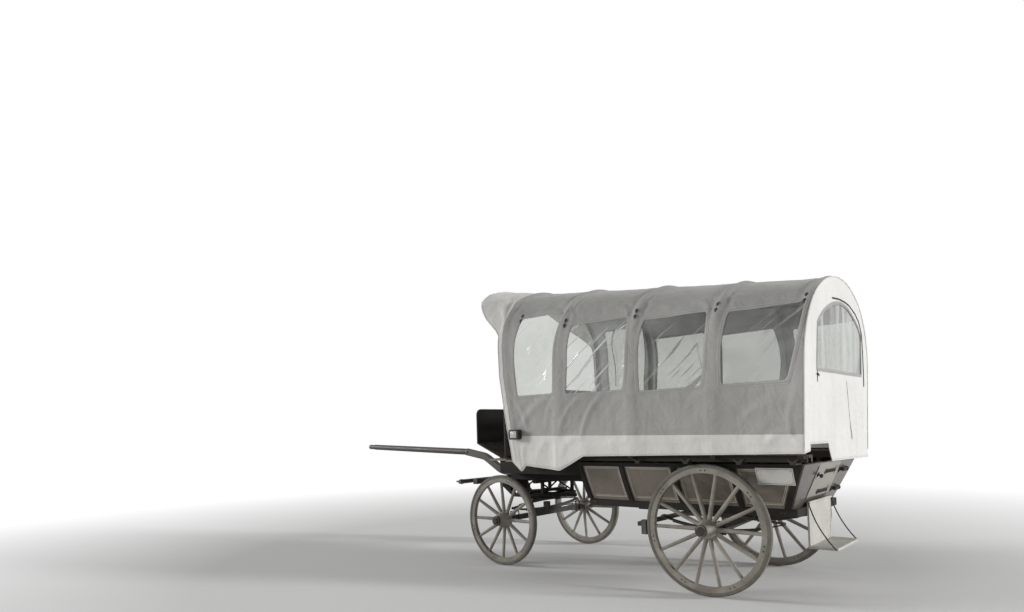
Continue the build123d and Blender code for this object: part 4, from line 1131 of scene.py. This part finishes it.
def make_buckles():
    """Black strap buckles in pairs at the windows' upper corners."""
    strap, metal = Pile(), Pile()
    for side in (1, -1):
        for x, z in buckles:
            for step in (-26, 26):
                here, ahead, up, normal = cloth_frame(x, z + step, side)
                strap.strap([here + up * (h * MM) for h in (-24, -12, 0, 12, 24)], [normal] * 5, 15, 1.8)
                lift = here + normal * 0.0030
                metal.block(lift, ahead * 13, up * 8, normal * 1.6, 1.0)
                metal.tube([lift + up * 0.010 + ahead * (a * MM) for a in (-11, 0, 11)], 2.2, 8)
                strap.dome(here - up * 0.017 + normal * 0.0018, normal, 4.0, 2.5)
    strap.piece("cover_straps", strap_leather, slot="cushion_leather")
    metal.piece("cover_buckles")


def make_window_ties():
    ties = Pile()
    for side in (1, -1):
        path = []
        for t in even(0.0, 1.0, 40):
            x = mix(tie_top[0], tie_foot[0], t) + 9 * sin(t * 7.0)
            path.append(on_wall(x, mix(tie_top[1], tie_foot[1], t), side, 1.6 + 5.0 * sin(pi * t)))
        ties.tube(path, 2.4, 8)
        ties.dome(path[0], path[0] - path[1], 6.0, 4.0)
        ties.dome(path[-1], path[-1] - path[-2], 5.0, 9.0)
    ties.piece("window_ties", black_webbing, smooth_below=50)


# Side panels: x of each bay between its ribs, none where the leaning tail is its rear edge; low and high z
rib_faces = [(852, 1268), (332, 808), (-198, 288), (None, -242)]
panel_low, panel_high = 728, 1056
line_rows = ((22, 6.0), (34, 3.4))
tail_x, tail_z = -605, 717
tail_run, tail_rise = 160, 363
tail_rib = 42
hinge_rows = (122, 305)
tail_up = Vector((-tail_run, 0, tail_rise)).normalized()
tail_out = Vector((-tail_up.z, 0, tail_up.x))


def tail_edge_x(z):
    return tail_x - tail_run * (z - tail_z) / tail_rise + tail_rib


def line_ribbon(pile, surface, corners, side, width, step=45.0, lift=0.3):
    """A painted line round the corners (x, z), laid on a surface."""
    spots = []
    for (x0, z0), (x1, z1) in zip(corners, corners[1:] + corners[:1]):
        count = max(2, int(hypot(x1 - x0, z1 - z0) / step))
        spots += list(zip(even(x0, x1, count), even(z0, z1, count)))[:-1]
    found = [surface.from_side(x, z, side) for x, z in spots + spots[:1]]
    found = [hit for hit in found if hit]
    if len(found) > 2:
        pile.strap([point + normal * (lift * MM) for point, normal in found],
                   [normal for point, normal in found], width, 0.5)


def make_coach_lines():
    """Pale double lines round the side panels."""
    panels = Surface("side_panels")
    lines = Pile()
    for side in (1, -1):
        for rear, front in rib_faces:
            for inset, width in line_rows:
                z0, z1 = panel_low + inset, panel_high - inset
                a0, a1 = ((tail_edge_x(z) if rear is None else rear) + inset for z in (z0, z1))
                b = front - inset
                line_ribbon(lines, panels, [(a0, z0), (b, z0), (b, z1), (a1, z1)], side, width)
    lines.piece("coach_lines", pale_line, slot="white_plate", smooth_below=30)


def make_plate_trim():
    """Thin dark border and four screws on the blank plate."""
    plate = Surface("blank_plate")
    low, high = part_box("blank_plate")
    x0, x1 = (low.x - rear_axle_x) / MM, (high.x - rear_axle_x) / MM
    side = 1 if high.y > 0 else -1
    border, screws = Pile(), Pile()
    rows = []
    for z in ((low.z + 0.010) / MM, (high.z - 0.010) / MM):
        seen = [x for x in even(x0, x1, 60) if plate.from_side(x, z, side)]
        rows.append((min(seen), max(seen), z))
    (a0, b0, z0), (a1, b1, z1) = rows
    line_ribbon(border, plate, [(a0 + 9, z0), (b0 - 9, z0), (b1 - 9, z1), (a1 + 9, z1)], side, 2.5, 30, 0.1)
    for x, z in ((a0 + 22, z0 + 12), (b0 - 22, z0 + 12), (b1 - 22, z1 - 12), (a1 + 22, z1 - 12)):
        screws.dome(plate.from_side(x, z, side)[0], Vector((0, side, 0)), 4.0, 2.4)
    border.piece("plate_border", strap_leather, slot="dark_paint", smooth_below=30)
    screws.piece("plate_screws", smooth_below=50)


def tail_point(u, v, w):
    """A point at u to the right along the tail, v up its slope and w out from it."""
    place = Vector((tail_x, 0, tail_z)) + tail_up * v + tail_out * w
    return P(place.x, -u, place.z)


# Tail fittings: their middle at u, and half their length, height and thickness
door_face = 18.0
strap_u, strap_half = 62, (122, 17, 2.2)
strap_bolts = (-40, 20, 90, 160)
strap_bolt_foot = door_face + 4.3
strap_end_u = -66
strap_end = [(0, 24), (4.0, 24), (4.4, 22)]
hinge_u, hinge_half = 385, (52, 15, 16)
hinge_barrel = [(0, 21), (26, 21), (30, 17)]
corner_u, corner_v, corner_half = -306, 214, (11, 150, 0.9)
knob_u, knob_v = -240, 289
knob_profile = [(0, 20), (3, 20), (4, 8), (18, 8), (22, 17), (32, 18), (38, 12), (40, 4)]


def make_tail_fittings():
    """Straps and knob of the tail door, and the hinge blocks and corner strip beside it."""
    straps, knob, irons = Pile(), Pile(), Pile()
    across = Vector((0, 1, 0))

    def bar(pile, u, v, half, bevel):
        """A bar that lies on the door's face."""
        length, height, thick = half
        middle = tail_point(u, v, door_face + thick)
        pile.block(middle, across * length, tail_up * height, tail_out * thick, bevel)

    for v in hinge_rows:
        bar(straps, strap_u, v, strap_half, 2.0)
        for u in strap_bolts:
            straps.bolt(tail_point(u, v, strap_bolt_foot), tail_out, 7.5)
        straps.turned(tail_point(strap_end_u, v, door_face), tail_out, strap_end, 20)
        bar(irons, hinge_u, v, hinge_half, 3.0)
        end = tail_point(hinge_u + hinge_half[0], v, door_face + hinge_half[2])
        irons.turned(end, -across, hinge_barrel, 18)
    bar(irons, corner_u, corner_v, corner_half, 0.5)
    knob.turned(tail_point(knob_u, knob_v, door_face), tail_out, knob_profile, 20)
    straps.piece("tail_door_straps", body="tail_door")
    knob.piece("tail_door_knob", body="tail_door")
    irons.piece("tail_irons")


# end, number of felloe joints and radius of their bolts' circle
felloe_joints = [("rear", 7, 487.0), ("front", 6, 415.0)]
felloe_half = 20.0
bolt_turn = 0.040


def make_wheel_bolts():
    """Pairs of bolts through the felloes at their joints."""
    for end, joints, ring in felloe_joints:
        for word in ("left", "right"):
            low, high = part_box(f"wheel_{end}_{word}_tyre")
            pile = Pile()
            for k in range(joints):
                a = 2 * pi * (k + 0.75) / joints
                for shift in (-bolt_turn, bolt_turn):
                    spoke = Vector((cos(a + shift), 0, sin(a + shift)))
                    for face in (1, -1) if word == "left" else (-1, 1):
                        out = Vector((0, face, 0))
                        place = (low + high) / 2 + spoke * (ring * MM) + out * (felloe_half * MM)
                        pile.bolt(place, out, 4.5)
            pile.piece(f"felloe_bolts_{end}_{word}", body=f"wheel_{end}_{word}")


clip_half = 31.0
clip_bend = 8.0
# end, x of the axle, body, and height of the legs' feet, of the arch and of the nuts' plate
clips = [("rear", 0.0, "carriage", 472.0, 570.8, 468.6),
         ("front", 2274.0, "fore_carriage", 430.0, 534.8, 432.8)]


def u_bolts(pile, x, y, foot, top, plate_z):
    """Two U-bolts astride the axle, with nuts under their plate."""
    half = [(-clip_half, foot), (-clip_half, top - clip_bend)]
    half += [(-clip_half + clip_bend * (1 - cos(a)), top - clip_bend + clip_bend * sin(a))
             for a in (0.5, 1.05, 1.57)]
    path = half + [(-dx, z) for dx, z in reversed(half)]
    for shift in (-clip_half, clip_half):
        pile.tube([P(x + dx, y + shift, z) for dx, z in path], 5.5, 10)
        for dx in (-clip_half, clip_half):
            pile.bolt(P(x + dx, y + shift, plate_z), Vector((0, 0, -1)), 9.5)
    size = clip_half + 12
    pile.block(P(x, y, plate_z + 5), Vector((size, 0, 0)), Vector((0, size, 0)), Vector((0, 0, 5)), 2.0)


def make_spring_clips():
    for end, x, body, foot, top, plate_z in clips:
        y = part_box(f"{end}_springs")[1].y / MM - 25.0
        pile = Pile()
        for side in (1, -1):
            u_bolts(pile, x, side * y, foot, top, plate_z)
        pile.piece(f"spring_clips_{end}", body=body)


button_y, button_z = 558, 1753
button_strap_z = (1700, 1725, 1750, 1790)


def make_turn_button():
    """The curtain's turn button on its strap."""
    pile = Pile()
    here = curtain_point(button_y, button_z, 1.6)
    pile.dome(here, back, 11, 5)
    pile.block(here + back * 0.008, Vector((0, 16, 8)), Vector((0, -3, 6)), Vector((3, 0, 0)), 1.5)
    pile.strap([curtain_point(button_y, z, 1.4) for z in button_strap_z], [back] * 4, 16, 1.6)
    pile.piece("curtain_button", strap_leather, slot="cushion_leather")


lens_x, lens_z = 1929, 1360
lens_half = [Vector((42, 0, 0)), Vector((0, 0, 34)), Vector((0, 2.2, 0))]


def make_lenses():
    pile = Pile()
    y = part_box("lamps")[1].y / MM + 0.6
    for side in (1, -1):
        pile.block(P(lens_x, side * y, lens_z), *lens_half)
    pile.piece("lamp_lenses", lens_pale, slot="lamp_plastic")


def keep_result(piece):
    """Makes the modifiers' result the piece's own mesh."""
    graph = bpy.context.evaluated_depsgraph_get()
    mesh = bpy.data.meshes.new_from_object(piece.evaluated_get(graph))
    piece.modifiers.clear()
    old = piece.data
    piece.data = mesh
    bpy.data.meshes.remove(old)


def blow_up(piece, most=0.012):
    """A short cloth simulation that fills the cushion, with no point moved by more than most."""
    rest = [vert.co.copy() for vert in piece.data.vertices]
    group = piece.vertex_groups.new(name="held")
    bottom = min(point.z for point in rest)
    group.add([i for i, point in enumerate(rest) if point.z < bottom + 0.004], 1.0, "REPLACE")
    settings = piece.modifiers.new("cloth", "CLOTH").settings
    settings.vertex_group_mass = "held"
    settings.use_pressure = True
    settings.uniform_pressure_force = 4.0
    settings.effector_weights.gravity = 0.0
    for number in range(1, 21):
        scene.frame_set(number)
    keep_result(piece)
    scene.frame_set(1)
    for vert, old in zip(piece.data.vertices, rest):
        move = vert.co - old
        if move.length > most:
            vert.co = old + move * (most / move.length)


def make_cushion():
    """The driver's cushion, filled out inside its own space."""
    low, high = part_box("driver_cushion")
    middle = (low + high) / 2
    half = (high - low) / 2 - Vector((0.010, 0.010, 0.012))
    form = bmesh.new()
    bmesh.ops.create_cube(form, size=2.0)
    for vert in form.verts:
        vert.co = Vector([middle[k] - (0.010 if k == 2 else 0) + vert.co[k] * half[k] for k in range(3)])
    bmesh.ops.bevel(form, geom=form.edges[:], offset=0.016, segments=4, affect="EDGES", profile=0.5)
    mesh = bpy.data.meshes.new("driver_cushion_pad")
    form.to_mesh(mesh)
    form.free()
    mesh.materials.append(finishes["cushion_leather"])
    piece = link_object("driver_cushion_pad", mesh)
    remesh = piece.modifiers.new("even", "REMESH")
    remesh.mode = "VOXEL"
    remesh.voxel_size = 0.010
    keep_result(piece)
    blow_up(piece)
    for vert in piece.data.vertices:
        u = (vert.co.y - middle.y) / half.y
        v = (vert.co.x - middle.x) / half.x
        if vert.co.z > middle.z:
            vert.co.z += 0.004 * rough(u * 3.0, v * 2.0, 3.0) - 0.002
        vert.co.z = min(vert.co.z, high.z + 0.006)
    for polygon in piece.data.polygons:
        polygon.use_smooth = True
    fine = piece.modifiers.new("fine", "SUBSURF")
    fine.levels = 1
    fine.render_levels = 1
    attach(piece, "carriage")
    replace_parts(piece, "driver_cushion")


# Camera: fitted to the wheels, body lines and cover in the photograph
camera_place = (-2430.99, 5740.96, 1392.11)
camera_yaw = 0.73574
camera_pitch = 0.03201
camera_roll = -0.03023
focal_px = 648.6157
centre_row_px = 410.7222
image_w = 1024
image_h = 612
sky_strength = 0.29
# name, strength, angle in radians and the way the light travels
lamps = [("sun", 2.5, 0.12, (0.90, 0.38, -0.20)), ("front_fill", 1.75, 0.25, (-0.80, -0.45, -0.25))]
floor_half = 60.0
floor_color = (0.84, 0.84, 0.83)
floor_fade = (3.6, 10.0)


def make_camera():
    data = bpy.data.cameras.new("camera")
    data.sensor_fit = "HORIZONTAL"
    data.sensor_width = 36.0
    data.lens = data.sensor_width * focal_px / image_w
    data.shift_y = (centre_row_px - image_h / 2) / image_w
    data.clip_end = 200.0
    camera = link_object("camera", data)
    turns = ((camera_yaw + pi, "Z"), (camera_pitch + pi / 2, "X"), (camera_roll, "Z"))
    camera.matrix_world = Matrix.Translation(P(*camera_place))
    for angle, axis in turns:
        camera.matrix_world = camera.matrix_world @ Matrix.Rotation(angle, 4, axis)
    scene.camera = camera


def make_stage():
    """A sky that is white where it is seen, two suns, and a pale floor that fades into the sky."""
    world = bpy.data.worlds.new("studio")
    scene.world = world
    world.use_nodes = True
    sky = Shader(world.node_tree)
    background = world.node_tree.nodes["Background"]
    sky.put(background.inputs["Color"], (1, 1, 1))
    sky.put(background.inputs["Strength"], sky.spread(sky.seen_directly(), 0.0, 1.0, sky_strength, 1.0))

    for name, strength, angle, toward in lamps:
        light = bpy.data.lights.new(name, "SUN")
        light.energy = strength
        light.angle = angle
        link_object(name, light).rotation_euler = Vector(toward).to_track_quat("-Z", "Y").to_euler()

    f = Finish("pale_floor", floor_color)
    middle = (cad_low + cad_high) / 2
    offset = f.node("VectorMath", 0, {0: f.place, 1: (middle.x, middle.y, floor_z)}, operation="SUBTRACT")
    away = f.node("VectorMath", "Value", {0: offset}, operation="LENGTH")
    f.surface(floor_color, 0.9, f.bump(f.noise(30.0, 3.0), 0.002, 0.1))
    far = f.math("MULTIPLY", f.spread(away, *floor_fade), f.seen_directly())
    f.mix_over(far, f.shader, f.node("Emission", 0))
    mesh = bpy.data.meshes.new("studio_floor")
    h = floor_half
    corners = [(-h, -h), (h, -h), (h, h), (-h, h)]
    mesh.from_pydata([(x, y, floor_z - 0.0005) for x, y in corners], [], [(0, 1, 2, 3)])
    mesh.materials.append(f.material)
    link_object("studio_floor", mesh)


for make in (dress_nodes, make_camera, make_stage, make_hoops, make_cover, make_foils, make_welts,
             make_cover_edges, make_curtain, make_curtain_trim, make_buckles, make_window_ties,
             make_coach_lines, make_plate_trim, make_tail_fittings, make_wheel_bolts,
             make_spring_clips, make_turn_button, make_lenses, make_cushion):
    make()

scene.view_settings.view_transform = "Standard"
